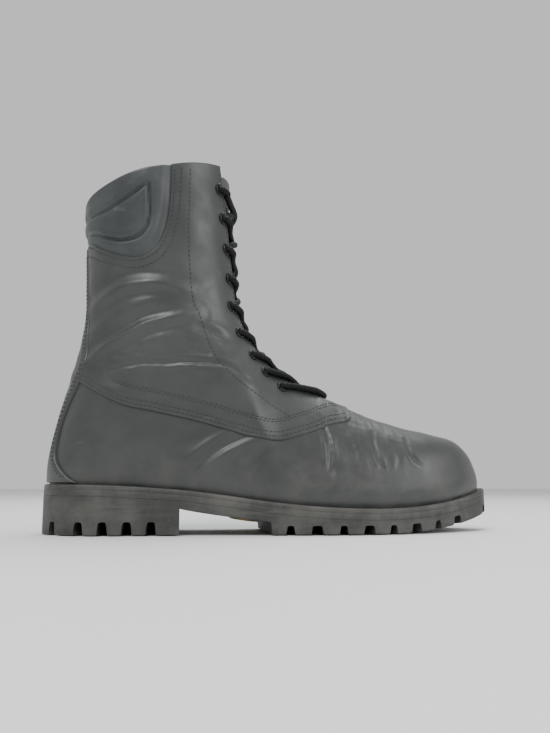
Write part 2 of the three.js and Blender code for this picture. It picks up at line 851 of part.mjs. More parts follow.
// One crossing of the lace over the tongue: two strands from facing to facing, joined
function makeCrossing(row) {
  const form = lastForm(-wall - tongueGap + laceDiameter / 2 + laceLift);
  const share = (k) => 1 - (eyeletTopDistance + k * eyeletPitch) / form.front.length;
  const gap = (k) => {
    const down = (eyeletTopDistance + k * eyeletPitch) / throatLength;
    return smooth(throatRows, 'down', 'gap', down) * shaftWidth / 2 - laceEndGap;
  };
  const strands = [-1, 1].map((side) => {
    const points = [];
    for (let i = 0; i <= laceSteps; i += 1) {
      const t = 0.15 + 0.7 * i / laceSteps;
      const y = side * THREE.MathUtils.lerp(gap(row + 0.15), -gap(row + 0.85), i / laceSteps);
      points.push(form.facingPoint(share(row + t), y));
    }
    const path = new THREE.CatmullRomCurve3(points);
    const section = new THREE.Shape();
    section.absarc(0, 0, laceDiameter / 2, 0, 2 * Math.PI);
    const tube = new THREE.ExtrudeGeometry(section, {
      steps: laceSteps, curveSegments: 3, bevelEnabled: false, extrudePath: path,
    });
    return solidFromGeometry(tube);
  });
  return joined(strands);
}

// The plain oval plate let into the bare waist, with a raised rim
function makePlate() {
  const x = shankEnd - 14;
  const turn = Math.atan2(outsoleBottom(x + 5) - outsoleBottom(x - 5), 10);
  const oval = (share) => {
    const shape = new THREE.Shape();
    shape.absellipse(0, 0, plateWidth / 2 * share, plateLength / 2 * share, 0, 2 * Math.PI);
    return shape;
  };
  const solidOval = (share, depth) => {
    const options = { depth, bevelEnabled: false, curveSegments: 7 };
    return solidFromGeometry(new THREE.ExtrudeGeometry(oval(share), options));
  };
  const disc = solidOval(1, plateThickness);
  const dish = solidOval(0.84, plateRim + fitGap).translate(0, 0, -fitGap);
  const height = outsoleBottom(x) - plateThickness - fitGap;
  return disc.subtract(dish).rotate(0, -THREE.MathUtils.radToDeg(turn), 0)
    .translate(x, bend(x), height);
}

const eyelets = eyeletPlaces();
add('outsole', makeOutsole(), rubber);
add('heel_block', makeHeelBlock(), rubber);
add('midsole', makeMidsole(), edgeRubber);
add('welt', makeWelt(), weltLeather);
add('upper', makeUpper(eyelets), leather);
add('tongue', makeTongue(), leather);
add('insole', makeInsole(), lining);
add('waist_plate', makePlate(), ochre);
for (const place of eyelets) {
  const side = place.side < 0 ? 'outer' : 'inner';
  add(`eyelet_${side}_${place.row + 1}`, makeEyelet(place), enamel);
}
for (let row = 0; row < eyeletCount - 1; row += 1) {
  add(`lace_crossing_${row + 1}`, makeCrossing(row), cordWeave);
}

// The origin is on the floor, under the middle of the whole boot
boot.updateMatrixWorld(true);
const bounds = new THREE.Box3().setFromObject(boot);
boot.position.set(-(bounds.min.x + bounds.max.x) / 2, -(bounds.min.y + bounds.max.y) / 2, -bounds.min.z);
boot.updateMatrixWorld(true);

export default boot;
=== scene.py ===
"""Combat boot, right foot: leather, rubber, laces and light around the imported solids.

Lengths are in millimetres along the boot's own axes until a mesh is made: x runs from the back of
the sole to the toe, y to the inner side, z up, and rise is the height above the welt.
"""
import math

import bpy
import numpy as np
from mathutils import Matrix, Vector


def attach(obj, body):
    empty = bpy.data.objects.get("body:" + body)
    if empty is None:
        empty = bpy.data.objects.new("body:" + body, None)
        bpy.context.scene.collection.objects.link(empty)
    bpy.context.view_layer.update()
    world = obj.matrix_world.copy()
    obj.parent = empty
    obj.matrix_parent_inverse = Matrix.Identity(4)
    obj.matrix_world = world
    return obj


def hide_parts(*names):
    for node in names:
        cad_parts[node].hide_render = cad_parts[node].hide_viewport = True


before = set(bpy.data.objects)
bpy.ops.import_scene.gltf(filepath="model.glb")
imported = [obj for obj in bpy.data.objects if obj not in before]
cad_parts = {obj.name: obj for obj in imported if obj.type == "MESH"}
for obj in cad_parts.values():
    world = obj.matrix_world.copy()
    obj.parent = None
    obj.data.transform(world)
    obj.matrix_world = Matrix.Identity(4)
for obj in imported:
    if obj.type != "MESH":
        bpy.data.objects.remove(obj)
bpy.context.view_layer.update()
SEED = 41

# Sizes of the last and the sole
SOLE_LENGTH = 303.0
BALL_WIDTH = 99.0
HEEL_WIDTH = 74.0
SHAFT_WIDTH = 92.0
SHAFT_RISE = 224.5
HEEL_HEIGHT = 31.0
BALL_HEIGHT = 15.7
TOE_HEIGHT = 28.5
TOE_SPRING = 12.8
TOE_BEND = 9.0
WALL = 2.4
LEATHER = 1.5
QUARTER_STEP = 1.2
STAY_STEP = 2.0
PAD_SWELL = 2.4
WELT_THICKNESS = 3.0
WELT_MARGIN = 3.2
MIDSOLE_THICKNESS = 3.5
FIT_GAP = 0.3
TONGUE_GAP = 0.5
TONGUE_THICKNESS = 3.0
TREAD_DEPTH = 5.5
SHANK_START = 87.0
SHANK_END = 144.0
SHANK_RISE_HEEL = 16.0
SHANK_RISE_BALL = 7.5
BALL_FLAT_END = 217.0
HEEL_SLOT_DEPTH = 9.0
EYELETS = 9
EYELET_PITCH = 20.5
EYELET_TOP = 18.0
CORD_RADIUS = 2.25
THROAT_LENGTH = 201.0

# Tables: the first column is a place, the others are shares of the named sizes
SOLE_ROWS = np.array([  # along the sole, half width, bend
    (0.0, 0.747, 0.0), (0.2, 0.755, -0.04), (0.29, 0.74, -0.33), (0.37, 0.745, -0.5),
    (0.47, 0.785, -0.56), (0.555, 0.885, -0.33), (0.62, 0.965, -0.1), (0.67, 1.0, 0.06),
    (0.75, 1.0, 0.25), (0.82, 1.0, 0.4), (0.9, 1.0, 0.68), (1.0, 1.0, 1.0)])
WELT_ROWS = np.array([  # along the sole, shares of the heel, ball and toe heights
    (0.0, 1.0, 0.0, 0.0), (0.15, 0.955, 0.03, 0.0), (0.29, 0.76, 0.24, 0.0),
    (0.37, 0.57, 0.43, 0.0), (0.47, 0.29, 0.71, 0.0), (0.57, 0.09, 0.91, 0.0),
    (0.67, 0.0, 1.0, 0.0), (0.77, 0.0, 0.96, 0.04), (0.87, 0.0, 0.7, 0.3),
    (0.95, 0.0, 0.3, 0.7), (1.0, 0.0, 0.0, 1.0)])
FRONT_ROWS = np.array([  # along the sole, rise
    (0.982, 0.0), (0.983, 0.035), (0.976, 0.072), (0.958, 0.124), (0.921, 0.174),
    (0.858, 0.211), (0.77, 0.25), (0.693, 0.283), (0.62, 0.323), (0.548, 0.364),
    (0.491, 0.41), (0.442, 0.48), (0.414, 0.567), (0.404, 0.66), (0.4, 0.8), (0.399, 1.0)])
BACK_ROWS = np.array([  # along the sole, rise
    (0.011, 0.0), (0.011, 0.06), (0.023, 0.15), (0.04, 0.243), (0.063, 0.355),
    (0.079, 0.467), (0.08, 0.578), (0.076, 0.69), (0.07, 0.835)])
SHAFT_ROWS = np.array([  # rise, half width
    (0.2, 0.8), (0.35, 0.815), (0.5, 0.83), (0.62, 0.855), (0.76, 0.92), (0.91, 0.985),
    (1.0, 1.0)])
NOSE_ROWS = np.array([  # rise, reach of the front's roundness
    (0.0, 0.355), (0.1, 0.35), (0.27, 0.3), (0.4, 0.25), (0.53, 0.19), (0.7, 0.168),
    (1.0, 0.168)])
CROWN_ROWS = np.array([  # along the sole, reach of the crown's roundness
    (0.4, 0.0), (0.43, 0.14), (0.49, 0.38), (0.55, 0.42), (0.62, 0.4), (0.68, 0.35),
    (0.77, 0.26), (0.86, 0.2), (1.0, 0.18)])
THROAT_ROWS = np.array([  # down the throat, half gap
    (-0.08, 0.64), (0.0, 0.61), (0.1, 0.52), (0.2, 0.43), (0.3, 0.34), (0.4, 0.27),
    (0.5, 0.26), (0.7, 0.24), (0.9, 0.2), (0.97, 0.14), (1.0, 0.0)])
TONGUE_ROWS = np.array([  # down the throat, half width
    (0.025, 0.26), (0.035, 0.37), (0.06, 0.46), (0.12, 0.53), (0.3, 0.57), (0.6, 0.58),
    (0.9, 0.54), (1.08, 0.5)])
EYELET_HALF = np.array([0.63, 0.55, 0.46, 0.4, 0.43, 0.44, 0.44, 0.43, 0.4])
QUARTER_EDGE = np.array([  # along the sole, rise: the quarter's lower edge
    (0.02, 0.31), (0.066, 0.292), (0.158, 0.226), (0.24, 0.208), (0.323, 0.192),
    (0.406, 0.176), (0.488, 0.172), (0.56, 0.206), (0.615, 0.24), (0.65, 0.252),
    (0.663, 0.262)])
PAD_EDGE = np.array([  # along the sole, rise: the quarter's edge against the collar pad
    (0.06, 0.722), (0.083, 0.71), (0.115, 0.672), (0.158, 0.648), (0.196, 0.646),
    (0.228, 0.68), (0.2475, 0.757), (0.254, 0.855), (0.254, 1.05)])
STAY_ROWS = np.array([  # rise, half width of the back stay
    (0.004, 0.76), (0.04, 0.6), (0.08, 0.44), (0.15, 0.37), (0.22, 0.42), (0.29, 0.52),
    (0.335, 0.58), (0.4, 0.49), (0.5, 0.35), (0.6, 0.25), (0.705, 0.18)])
HEEL_ROUND = 0.57
SHAFT_FADE = (0.2, 0.5)
BEND_FADE = (0.18, 0.5)
FEATHER_TUCK = 0.055
FEATHER_TUCK_RISE = 12.0
SIDE_SCALE = (SOLE_LENGTH, SHAFT_RISE)
OUTLINE_STEPS = 1200


def smooth(rows, at, column=1):
    """Cubic Hermite curve through a table's rows, with slopes from each row's neighbours."""
    places, values = rows[:, 0], rows[:, column]
    last = len(places) - 1
    before = np.maximum(np.arange(last + 1) - 1, 0)
    after = np.minimum(np.arange(last + 1) + 1, last)
    slopes = (values[after] - values[before]) / (places[after] - places[before])
    held = np.clip(at, places[0], places[-1])
    k = np.clip(np.searchsorted(places, held, side="right") - 1, 0, last - 1)
    span = places[k + 1] - places[k]
    t = (held - places[k]) / span
    t2, t3 = t * t, t * t * t
    return ((2 * t3 - 3 * t2 + 1) * values[k] + (t3 - 2 * t2 + t) * span * slopes[k]
            + (3 * t2 - 2 * t3) * values[k + 1] + (t3 - t2) * span * slopes[k + 1])


def fade(value, start, end):
    """Smooth step from 0 at start to 1 at end."""
    t = np.clip((value - start) / (end - start), 0, 1)
    return t * t * (3 - 2 * t)


def rounded(share, power=1.9):
    """Quarter of a superellipse: the share of full width at a share of the way in from an edge."""
    rest = 1 - np.clip(share, 0, 1)
    return (1 - rest ** power) ** (1 / power)


def bell(distance, width):
    """Soft bump, 1 at distance 0 and nearly 0 two widths away."""
    return np.exp(-(distance / width) ** 2)


def weltTop(x):
    at = x / SOLE_LENGTH
    return (HEEL_HEIGHT * smooth(WELT_ROWS, at, 1) + BALL_HEIGHT * smooth(WELT_ROWS, at, 2)
            + TOE_HEIGHT * smooth(WELT_ROWS, at, 3))


def bend(x):
    return TOE_BEND * smooth(SOLE_ROWS, x / SOLE_LENGTH, 2)


def soleHalf(x, inset=0.0):
    """Half width of the sole: the table's width times the round toe and the round heel."""
    full = BALL_WIDTH / 2 * smooth(SOLE_ROWS, x / SOLE_LENGTH, 1)
    toe = rounded((SOLE_LENGTH - inset - x) / (0.37 * SOLE_LENGTH), 1.8)
    heel = rounded((x - inset) / (0.6 * HEEL_WIDTH), 2)
    return np.maximum((full - inset) * toe * heel, 0)


def runOf(points):
    """Length up to each point of a line, or of several lines side by side."""
    steps = np.linalg.norm(np.diff(points, axis=0), axis=-1)
    return np.concatenate([np.zeros_like(steps[:1]), np.cumsum(steps, axis=0)])


def readLine(at, places, line):
    """Points between those of a line, which lie at the given places."""
    return np.stack([np.interp(at, places, column) for column in line.T], axis=1)


def unit(vectors):
    return vectors / np.linalg.norm(vectors, axis=-1, keepdims=True)


def cosineSteps(count):
    """Steps from 0 to 1 that close up towards both ends."""
    return (1 - np.cos(np.pi * np.linspace(0, 1, count))) / 2


def outline(rows):
    """Uniform Catmull-Rom curve through the rows, sampled at even steps of its length."""
    points = rows * SIDE_SCALE
    held = np.vstack([2 * points[0] - points[1], points, 2 * points[-1] - points[-2]])
    t = np.linspace(0, len(points) - 1, 4000)
    k = np.minimum(t.astype(int), len(points) - 2)
    u = (t - k)[:, None]
    a, b, c, d = held[k], held[k + 1], held[k + 2], held[k + 3]
    fine = 0.5 * (2 * b + (c - a) * u + (2 * a - 5 * b + 4 * c - d) * u ** 2
                  + (3 * b - a - 3 * c + d) * u ** 3)
    run = runOf(fine)
    return readLine(np.linspace(0, run[-1], OUTLINE_STEPS), run, fine), run[-1]


FRONT, FRONT_LENGTH = outline(FRONT_ROWS)
BACK = outline(BACK_ROWS)[0]
SHIFT_X = -SOLE_LENGTH / 2
ALONG = np.linspace(0.5, SOLE_LENGTH - 0.5, 600)
SHIFT_Y = -((bend(ALONG) + soleHalf(ALONG)).max() + (bend(ALONG) - soleHalf(ALONG)).min()) / 2


def onOutline(line, share, offset, side):
    """A point on an outline, moved outward square to it."""
    at = np.clip(share, 0, 1) * (len(line) - 1)
    columns = np.column_stack([line, unit(np.gradient(line, axis=0))]).T
    x, rise, tx, ty = (np.interp(at, np.arange(len(line)), column) for column in columns)
    return x + ty * offset * side, rise - tx * offset * side


def halfAt(x, rise, back_x, offset=0.0):
    """Half width of the upper: foot width fading to shaft width, rounded to both outlines."""
    along, up = x / SOLE_LENGTH, rise / SHAFT_RISE
    foot = BALL_WIDTH / 2 * smooth(SOLE_ROWS, along, 1) - WELT_MARGIN
    shaft = SHAFT_WIDTH / 2 * smooth(SHAFT_ROWS, up)
    mix = fade(up, *SHAFT_FADE)
    full = foot + (shaft - foot) * mix + offset
    nose = smooth(NOSE_ROWS, up) * SOLE_LENGTH + offset
    crown = smooth(CROWN_ROWS, along) * SHAFT_RISE + offset
    fx, frise = onOutline(FRONT, np.linspace(0, 1, OUTLINE_STEPS), offset, 1)
    top = int(np.argmax(fx))
    ahead = np.maximum(np.interp(rise, frise, fx) - x, 1e-6)
    above = np.maximum(np.interp(x, fx[top:][::-1], frise[top:][::-1], left=1e6) - rise, 1e-6)
    in_front = 1 / np.hypot(nose / ahead, crown / above)
    behind = (x - back_x) / (HEEL_ROUND * HEEL_WIDTH + offset)
    low = 1 - np.clip(np.maximum(rise, 0) / FEATHER_TUCK_RISE, 0, 1)
    pad = fade(up, 0.6, 0.67) * (1 - fade(along, 0.2, 0.25))
    tuck = 1 - FEATHER_TUCK * low * low
    return (full * tuck + PAD_SWELL * pad) * rounded(in_front) * rounded(behind, 2)


def sideOf(u, v, offset=0.0):
    """Place on the boot's silhouette: u from the back to the front of level line v."""
    bx, brise = onOutline(BACK, v, offset, -1)
    fx, frise = onOutline(FRONT, v, offset, 1)
    return bx + (fx - bx) * u, brise + (frise - brise) * u, bx


def form(u, v, side, offset=0.0):
    """Point of the upper's form (N, 3), grown by an offset."""
    x, rise, bx = sideOf(u, v, offset)
    edge = (u < 1e-9) | (u > 1 - 1e-9)
    half = np.where(edge, 0, halfAt(x, rise, bx, offset))
    middle = bend(x) * (1 - fade(rise / SHAFT_RISE, *BEND_FADE))
    return np.stack([x, middle + side * half, weltTop(x) + rise], axis=-1)


def toLevel(x, rise):
    """The (u, v) of places on the silhouette, found along 1500 level lines."""
    v = np.linspace(0, 1, 1500)
    bx, brise, _ = sideOf(np.zeros_like(v), v)
    fx, frise, _ = sideOf(np.ones_like(v), v)
    across = ((fx - bx)[None] * (np.asarray(rise)[:, None] - brise[None])
              - (frise - brise)[None] * (np.asarray(x)[:, None] - bx[None]))
    k = np.clip(np.argmax(across < 0, axis=1), 1, len(v) - 1)
    k = np.where((across < 0).any(axis=1), k, len(v) - 1)
    rows = np.arange(len(k))
    a, b = across[rows, k - 1], across[rows, k]
    t = np.clip(a / np.where(np.abs(a - b) < 1e-12, 1, a - b), 0, 1)
    found = v[k - 1] + t * (v[k] - v[k - 1])
    bx, _, _ = sideOf(np.zeros_like(found), found)
    fx, _, _ = sideOf(np.ones_like(found), found)
    return np.clip((np.asarray(x) - bx) / (fx - bx), 0, 1), found


def densify(points, step=1.0):
    """A polyline with a point at least every step, on smooth curves through its points."""
    t = np.arange(len(points))
    rows = np.column_stack([t, points])
    run = runOf(points)
    at = np.interp(np.arange(0, run[-1] + step, step), run, t)
    return np.stack([smooth(rows, at, 1), smooth(rows, at, 2)], axis=1)


def shifted(points, distance):
    """A polyline moved sideways, to the left of its way."""
    run = unit(np.gradient(points, axis=0))
    return points + distance * np.stack([-run[:, 1], run[:, 0]], axis=1)


QUARTER_LINE = densify(QUARTER_EDGE * SIDE_SCALE)
PAD_LINE = densify(PAD_EDGE * SIDE_SCALE)

# Level of the quarter's edge across the boot, and place of the pad's edge on each level
TAB_X, tab_low = QUARTER_LINE[-1]
tab_up = np.column_stack([np.full(60, TAB_X), np.linspace(tab_low, SHAFT_RISE * 0.5, 60)])
tab_up = tab_up[tab_up[:, 1] < np.interp(TAB_X, FRONT[::-1, 0], FRONT[::-1, 1]) - 0.2]
seam_u, seam_v = toLevel(*np.vstack([QUARTER_LINE, tab_up]).T)
tab_v = np.interp(TAB_X, FRONT[::-1, 0], np.linspace(1, 0, len(FRONT)))
SEAM_U = np.concatenate([[0], seam_u, [1]])
SEAM_V = np.concatenate([[seam_v[0]], seam_v, [tab_v]])
pad_u, pad_v = toLevel(*PAD_LINE.T)
start = int(np.argmax(pad_u > 0)) - 1
ease = np.linspace(0, 1, 14)[1:-1] ** 2
PAD_U = np.concatenate([[0, 0], pad_u[start + 1] * ease, pad_u[start + 1:]])
PAD_V = np.concatenate([[SEAM_V[0], pad_v[start]],
                        pad_v[start] + (pad_v[start + 1] - pad_v[start]) * ease,
                        pad_v[start + 1:]])


def seamLevel(u):
    return np.interp(u, SEAM_U, SEAM_V)


def widthPlace(v, half, narrow=1.0, offset=0.0, moved=0.0):
    """Where level lines v are half wide, halved in on between their middle and a narrow end."""
    wide, narrow = np.full(v.shape, 0.45), np.full(v.shape, narrow)
    for _ in range(34):
        middle = (wide + narrow) / 2
        x, rise, bx = sideOf(middle, v, moved)
        broad = halfAt(x, rise, bx, offset) > half
        wide, narrow = np.where(broad, middle, wide), np.where(broad, narrow, middle)
    return wide


def throatGap(down):
    """Half the gap between the facings at a share of the way down the throat."""
    return smooth(THROAT_ROWS, down) * SHAFT_WIDTH / 2


THROAT_V = np.linspace(0, 1, 2400)
down = (1 - THROAT_V) * FRONT_LENGTH / THROAT_LENGTH
gap = np.where(down < 1, throatGap(down), 0)
THROAT_U = np.where(gap <= 0.01, 1.0, widthPlace(THROAT_V, gap))


def facingPlace(v):
    """Where each level line meets the facing's edge: 1 below the throat."""
    return np.interp(v, THROAT_V, THROAT_U)


def placed(points):
    """Boot millimetres to the frame's metres."""
    return (np.asarray(points) + (SHIFT_X, SHIFT_Y, 0.0)) / 1000.0


def makeMesh(name, vertices, faces, sharp=35.0, uv=None):
    """A mesh object from arrays: vertices (N, 3) in boot millimetres, faces, and UV by corner."""
    mesh = bpy.data.meshes.new(name)
    corners = faces.shape[1]
    mesh.vertices.add(len(vertices))
    mesh.vertices.foreach_set("co", placed(vertices).astype(np.float32).ravel())
    mesh.loops.add(faces.size)
    mesh.loops.foreach_set("vertex_index", faces.astype(np.int32).ravel())
    mesh.polygons.add(len(faces))
    mesh.polygons.foreach_set("loop_start", np.arange(0, faces.size, corners, dtype=np.int32))
    if uv is not None:
        layer = mesh.uv_layers.new(name="UVMap")
        layer.data.foreach_set("uv", uv.astype(np.float32).ravel())
    mesh.update(calc_edges=True)
    mesh.validate()
    mesh.polygons.foreach_set("use_smooth", np.ones(len(mesh.polygons), dtype=bool))
    mesh.set_sharp_from_angle(angle=math.radians(sharp))
    thing = bpy.data.objects.new(name, mesh)
    bpy.context.scene.collection.objects.link(thing)
    return thing


def welded(vertices, faces, grain=0.004):
    """Vertices that share a place made one, and quads cut into triangles, without thin ones."""
    _, first, back = np.unique(np.round(vertices / grain).astype(np.int64), axis=0,
                               return_index=True, return_inverse=True)
    faces = back.ravel()[faces]
    tris = np.vstack([faces[:, [0, 1, 2]], faces[:, [0, 2, 3]]])
    a, b, c = tris.T
    return vertices[first], tris[(a != b) & (b != c) & (c != a)]


def together(parts):
    """One array of vertices and one of faces from several pairs of them."""
    starts = np.cumsum([0] + [len(points) for points, _ in parts[:-1]])
    return (np.vstack([points for points, _ in parts]),
            np.vstack([faces + start for (_, faces), start in zip(parts, starts)]))


def gridFaces(rows, columns, flip=False):
    """Quads over a grid of vertices, facing the way of columns x rows."""
    k = (np.arange(rows - 1)[:, None] * columns + np.arange(columns - 1)).ravel()
    quads = np.stack([k, k + 1, k + columns + 1, k + columns], axis=1)
    return quads[:, ::-1] if flip else quads


def shellOf(outer, inner, flip, joined=None):
    """Closed sheet between two grids (rows, columns, 3), with no wall along joined points."""
    rows, columns = outer.shape[:2]
    count = rows * columns
    index = np.arange(count).reshape(rows, columns)
    faces = [gridFaces(rows, columns, flip), gridFaces(rows, columns, not flip) + count]
    for edge, turn in zip((index[0], index[:, -1], index[-1], index[:, 0]), (0, 0, 1, 1)):
        a, b = edge[:-1], edge[1:]
        if joined is not None:
            keep = ~(joined.ravel()[a] & joined.ravel()[b])
            a, b = a[keep], b[keep]
        wall = np.stack([b, a, a + count, b + count], axis=1)
        faces.append(wall[:, ::-1] if bool(turn) != flip else wall)
    return np.vstack([outer.reshape(-1, 3), inner.reshape(-1, 3)]), np.vstack(faces)


def edgeSteps(count, length, edge=(0.0, 0.12, 0.3, 0.55, 0.9, 1.4), ends=(True, True)):
    """Shares from 0 to 1 with extra steps close to the chosen ends, for rounded edges."""
    near = np.array(edge) / length
    start = near if ends[0] else near[:1]
    stop = 1 - near[::-1] if ends[1] else np.array([1.0])
    return np.concatenate([start, np.linspace(start[-1], stop[0], count)[1:-1], stop])


# Lengths along the level lines, so that grids can be even on the leather itself
FINE, LEVELS = 700, 241
fine_u = cosineSteps(FINE)
grid_u, grid_v = np.meshgrid(fine_u, np.linspace(0, 1, LEVELS))
lying = form(grid_u.ravel(), grid_v.ravel(), 1).reshape(LEVELS, FINE, 3)
ARC = runOf(lying.swapaxes(0, 1)).T
ARC_TOTAL = ARC[:, -1]
U_OF = np.stack([np.interp(np.linspace(0, total, FINE), arc, fine_u)
                 for arc, total in zip(ARC, ARC_TOTAL)])
U_OF[:, 0], U_OF[:, -1] = 0.0, 1.0


def between(table, rows, columns):
    """Bilinear reading of a table at fractional rows and columns."""
    r = np.clip(rows, 0, table.shape[0] - 1)
    c = np.clip(columns, 0, table.shape[1] - 1)
    i = np.minimum(r.astype(int), table.shape[0] - 2)
    j = np.minimum(c.astype(int), table.shape[1] - 2)
    p, q = r - i, c - j
    return ((table[i, j] * (1 - q) + table[i, j + 1] * q) * (1 - p)
            + (table[i + 1, j] * (1 - q) + table[i + 1, j + 1] * q) * p)


def arcAt(u, v):
    """Length along level v from the boot's back to u."""
    column = np.arccos(np.clip(1 - 2 * u, -1, 1)) / np.pi * (FINE - 1)
    return between(ARC, v * (LEVELS - 1), column)


def uAt(arc, v):
    """The u that lies an arc length from the back, on level v."""
    total = np.interp(v * (LEVELS - 1), np.arange(LEVELS), ARC_TOTAL)
    return between(U_OF, v * (LEVELS - 1), np.clip(arc / total, 0, 1) * (FINE - 1))


def patch(low, high, left, right, s, t):
    """Grid of (u, v): rows run level between low(u) and high(u), from the left to the right edge.

    low and high are functions of u; left and right are edge lines (u, v), lowest point first.
    """
    ends = []
    for u, v in (left, right):
        share = np.maximum.accumulate((v - low(u)) / (high(u) - low(u)))
        ends.append(np.interp(t, share, u)[:, None] + np.zeros_like(s))
    start, stop = ends
    rows = t[:, None] + np.zeros_like(s)
    u = start + (stop - start) * s
    for _ in range(4):
        v = low(u) * (1 - rows) + high(u) * rows
        from_arc, to_arc = (arcAt(at.ravel(), v.ravel()).reshape(v.shape) for at in (start, stop))
        u = uAt((from_arc + (to_arc - from_arc) * s).ravel(), v.ravel()).reshape(v.shape)
        u[:, 0], u[:, -1] = start[:, 0], stop[:, -1]
    return u, low(u) * (1 - rows) + high(u) * rows


def level(value):
    return lambda u: np.full_like(u, value)


def upright(u, low, high):
    """A straight edge line at one u."""
    return np.array([u, u]), np.array([low, high])


def rim(distance, radius):
    """How far a rounded edge falls back at a distance in from the edge."""
    rest = np.clip(1 - distance / radius, 0, 1)
    return radius * (1 - np.sqrt(1 - rest * rest))


# Folds of the leather in the side view: start, end, bow, width, depth (below 0 a ridge), and
# side (-1 outer, 1 inner, 0 both)
FOLDS = [
    ((177, 74), (181, 40), 3.0, 1.7, 1.0, 0), ((181, 52), (186, 30), 2.0, 3.0, 0.5, 0),
    ((214, 65), (217, 42), -2.0, 1.5, 0.8, 0), ((237, 60), (244, 44), -2.5, 1.5, 0.9, 0),
    ((197, 68), (202, 48), 2.0, 2.4, 0.4, 0), ((226, 60), (229, 44), 1.5, 2.0, 0.35, 0),
    ((134, 64), (92, 36), -4.0, 3.0, 1.5, -1), ((150, 58), (125, 34), -3.0, 3.6, 0.6, -1),
    ((110, 56), (86, 40), -3.0, 4.0, -0.8, -1),
    ((60, 118), (88, 120), 2.0, 5.0, -0.9, -1), ((52, 141), (84, 144), 2.0, 6.0, -0.6, -1),
    ((62, 168), (92, 164), 3.0, 5.0, -0.5, -1), ((92, 196), (84, 168), 3.0, 5.0, -0.5, -1),
    ((96, 130), (114, 124), 1.0, 2.6, 1.0, 0), ((24, 86), (52, 88), 2.0, 3.6, -0.8, 0),
    ((40, 100), (104, 108), -3.0, 2.4, 1.2, 1), ((30, 124), (82, 142), 5.0, 4.0, -1.5, 1),
    ((34, 110), (78, 126), 4.0, 5.0, 1.0, 1), ((140, 62), (100, 38), -4.0, 3.2, 1.2, 1),
    ((44, 142), (88, 156), 3.0, 5.0, -0.9, 1), ((20, 62), (60, 48), 2.0, 7.0, -0.5, 0),
    ((70, 46), (112, 44), 2.0, 5.0, -0.5, 0), ((160, 44), (200, 36), 2.0, 5.0, 0.3, 0),
]
# Long folds through several places: points, width, depth and side as above
ARCS = [
    ([(26, 141), (36, 149), (48, 155), (62, 157), (76, 157), (92, 153)], 2.6, -1.7, -1),
    ([(30, 152), (44, 162), (60, 166), (78, 166)], 5.0, 0.8, -1),
    ([(27, 108), (35, 115), (46, 120), (56, 125), (68, 131), (80, 135), (96, 140)], 2.1, -1.7, -1),
    ([(28, 116), (38, 124), (50, 131), (64, 138), (80, 143)], 4.0, 1.0, -1),
    ([(40, 101), (56, 105), (80, 107), (104, 107), (118, 104), (130, 96)], 1.7, 0.75, -1),
]


def bowed(start, end, bow):
    """A line from start to end in 22 steps, with its middle moved sideways by the bow."""
    t = np.linspace(0, 1, 22)
    a, run = np.array(start, float), np.array(end, float) - np.array(start, float)
    normal = np.array([-run[1], run[0]]) / np.hypot(*run)
    return a + run * t[:, None] + normal * (bow * 4 * t * (1 - t))[:, None]


FOLD_LINES = [(bowed(*row[:3]), *row[3:]) for row in FOLDS]
FOLD_LINES += [(densify(np.array(points, float), 2.5), *rest) for points, *rest in ARCS]


def nearest(line, x, z):
    """Distance from places in the side view to a polyline, and the share of its way there."""
    away, place = np.full(x.shape, 1e9), np.zeros(x.shape)
    for k in range(len(line) - 1):
        p, d = line[k], line[k + 1] - line[k]
        s = np.clip(((x - p[0]) * d[0] + (z - p[1]) * d[1]) / max(d @ d, 1e-9), 0, 1)
        gap = np.hypot(x - p[0] - s * d[0], z - p[1] - s * d[1])
        place = np.where(gap < away, (k + s) / (len(line) - 1), place)
        away = np.minimum(away, gap)
    return away, place


def foldRelief(x, y, z):
    """Sum of soft troughs with raised shoulders, or of ridges, each along a line."""
    total = np.zeros_like(x)
    for line, width, depth, side in FOLD_LINES:
        low, high = line.min(axis=0) - 4 * width, line.max(axis=0) + 4 * width
        box = (x > low[0]) & (x < high[0]) & (z > low[1]) & (z < high[1])
        if not box.any():
            continue
        away, place = nearest(line, x[box], z[box])
        ends = np.sin(np.pi * (0.05 + 0.9 * place)) ** 0.7
        if depth < 0:
            shape = -bell(away, width * 1.4) + 0.25 * bell(away - 3.0 * width, width)
        else:
            shape = -bell(away, width) + 0.45 * bell(away - 1.9 * width, 0.9 * width)
        total[box] += depth * ends * shape * (fade(y[box] * side, 4, 16) if side else 1.0)
    return total


OCTAVES, WAVES = 2, 7


def waves(points, size, seed):
    """Smooth noise as a sum of plane waves in fixed random directions."""
    draw = np.random.default_rng(seed)
    total = np.zeros(len(points))
    for octave in range(OCTAVES):
        scale = size / 2 ** octave
        for _ in range(WAVES):
            way = draw.normal(size=3)
            way /= np.linalg.norm(way)
            phase = points @ way / scale * 2 * np.pi + draw.uniform(0, 2 * np.pi)
            total += np.sin(phase) / 2 ** octave
    return total / WAVES ** 0.5


# Where the leather creases most, and the height and lengths of its waves
ANKLE_HEIGHT, FLEX_PLACE = 112.0, 205.0
SLOW_WAVE, SLOW_LENGTH, FINE_LENGTH = 0.28, 46.0, 9.0


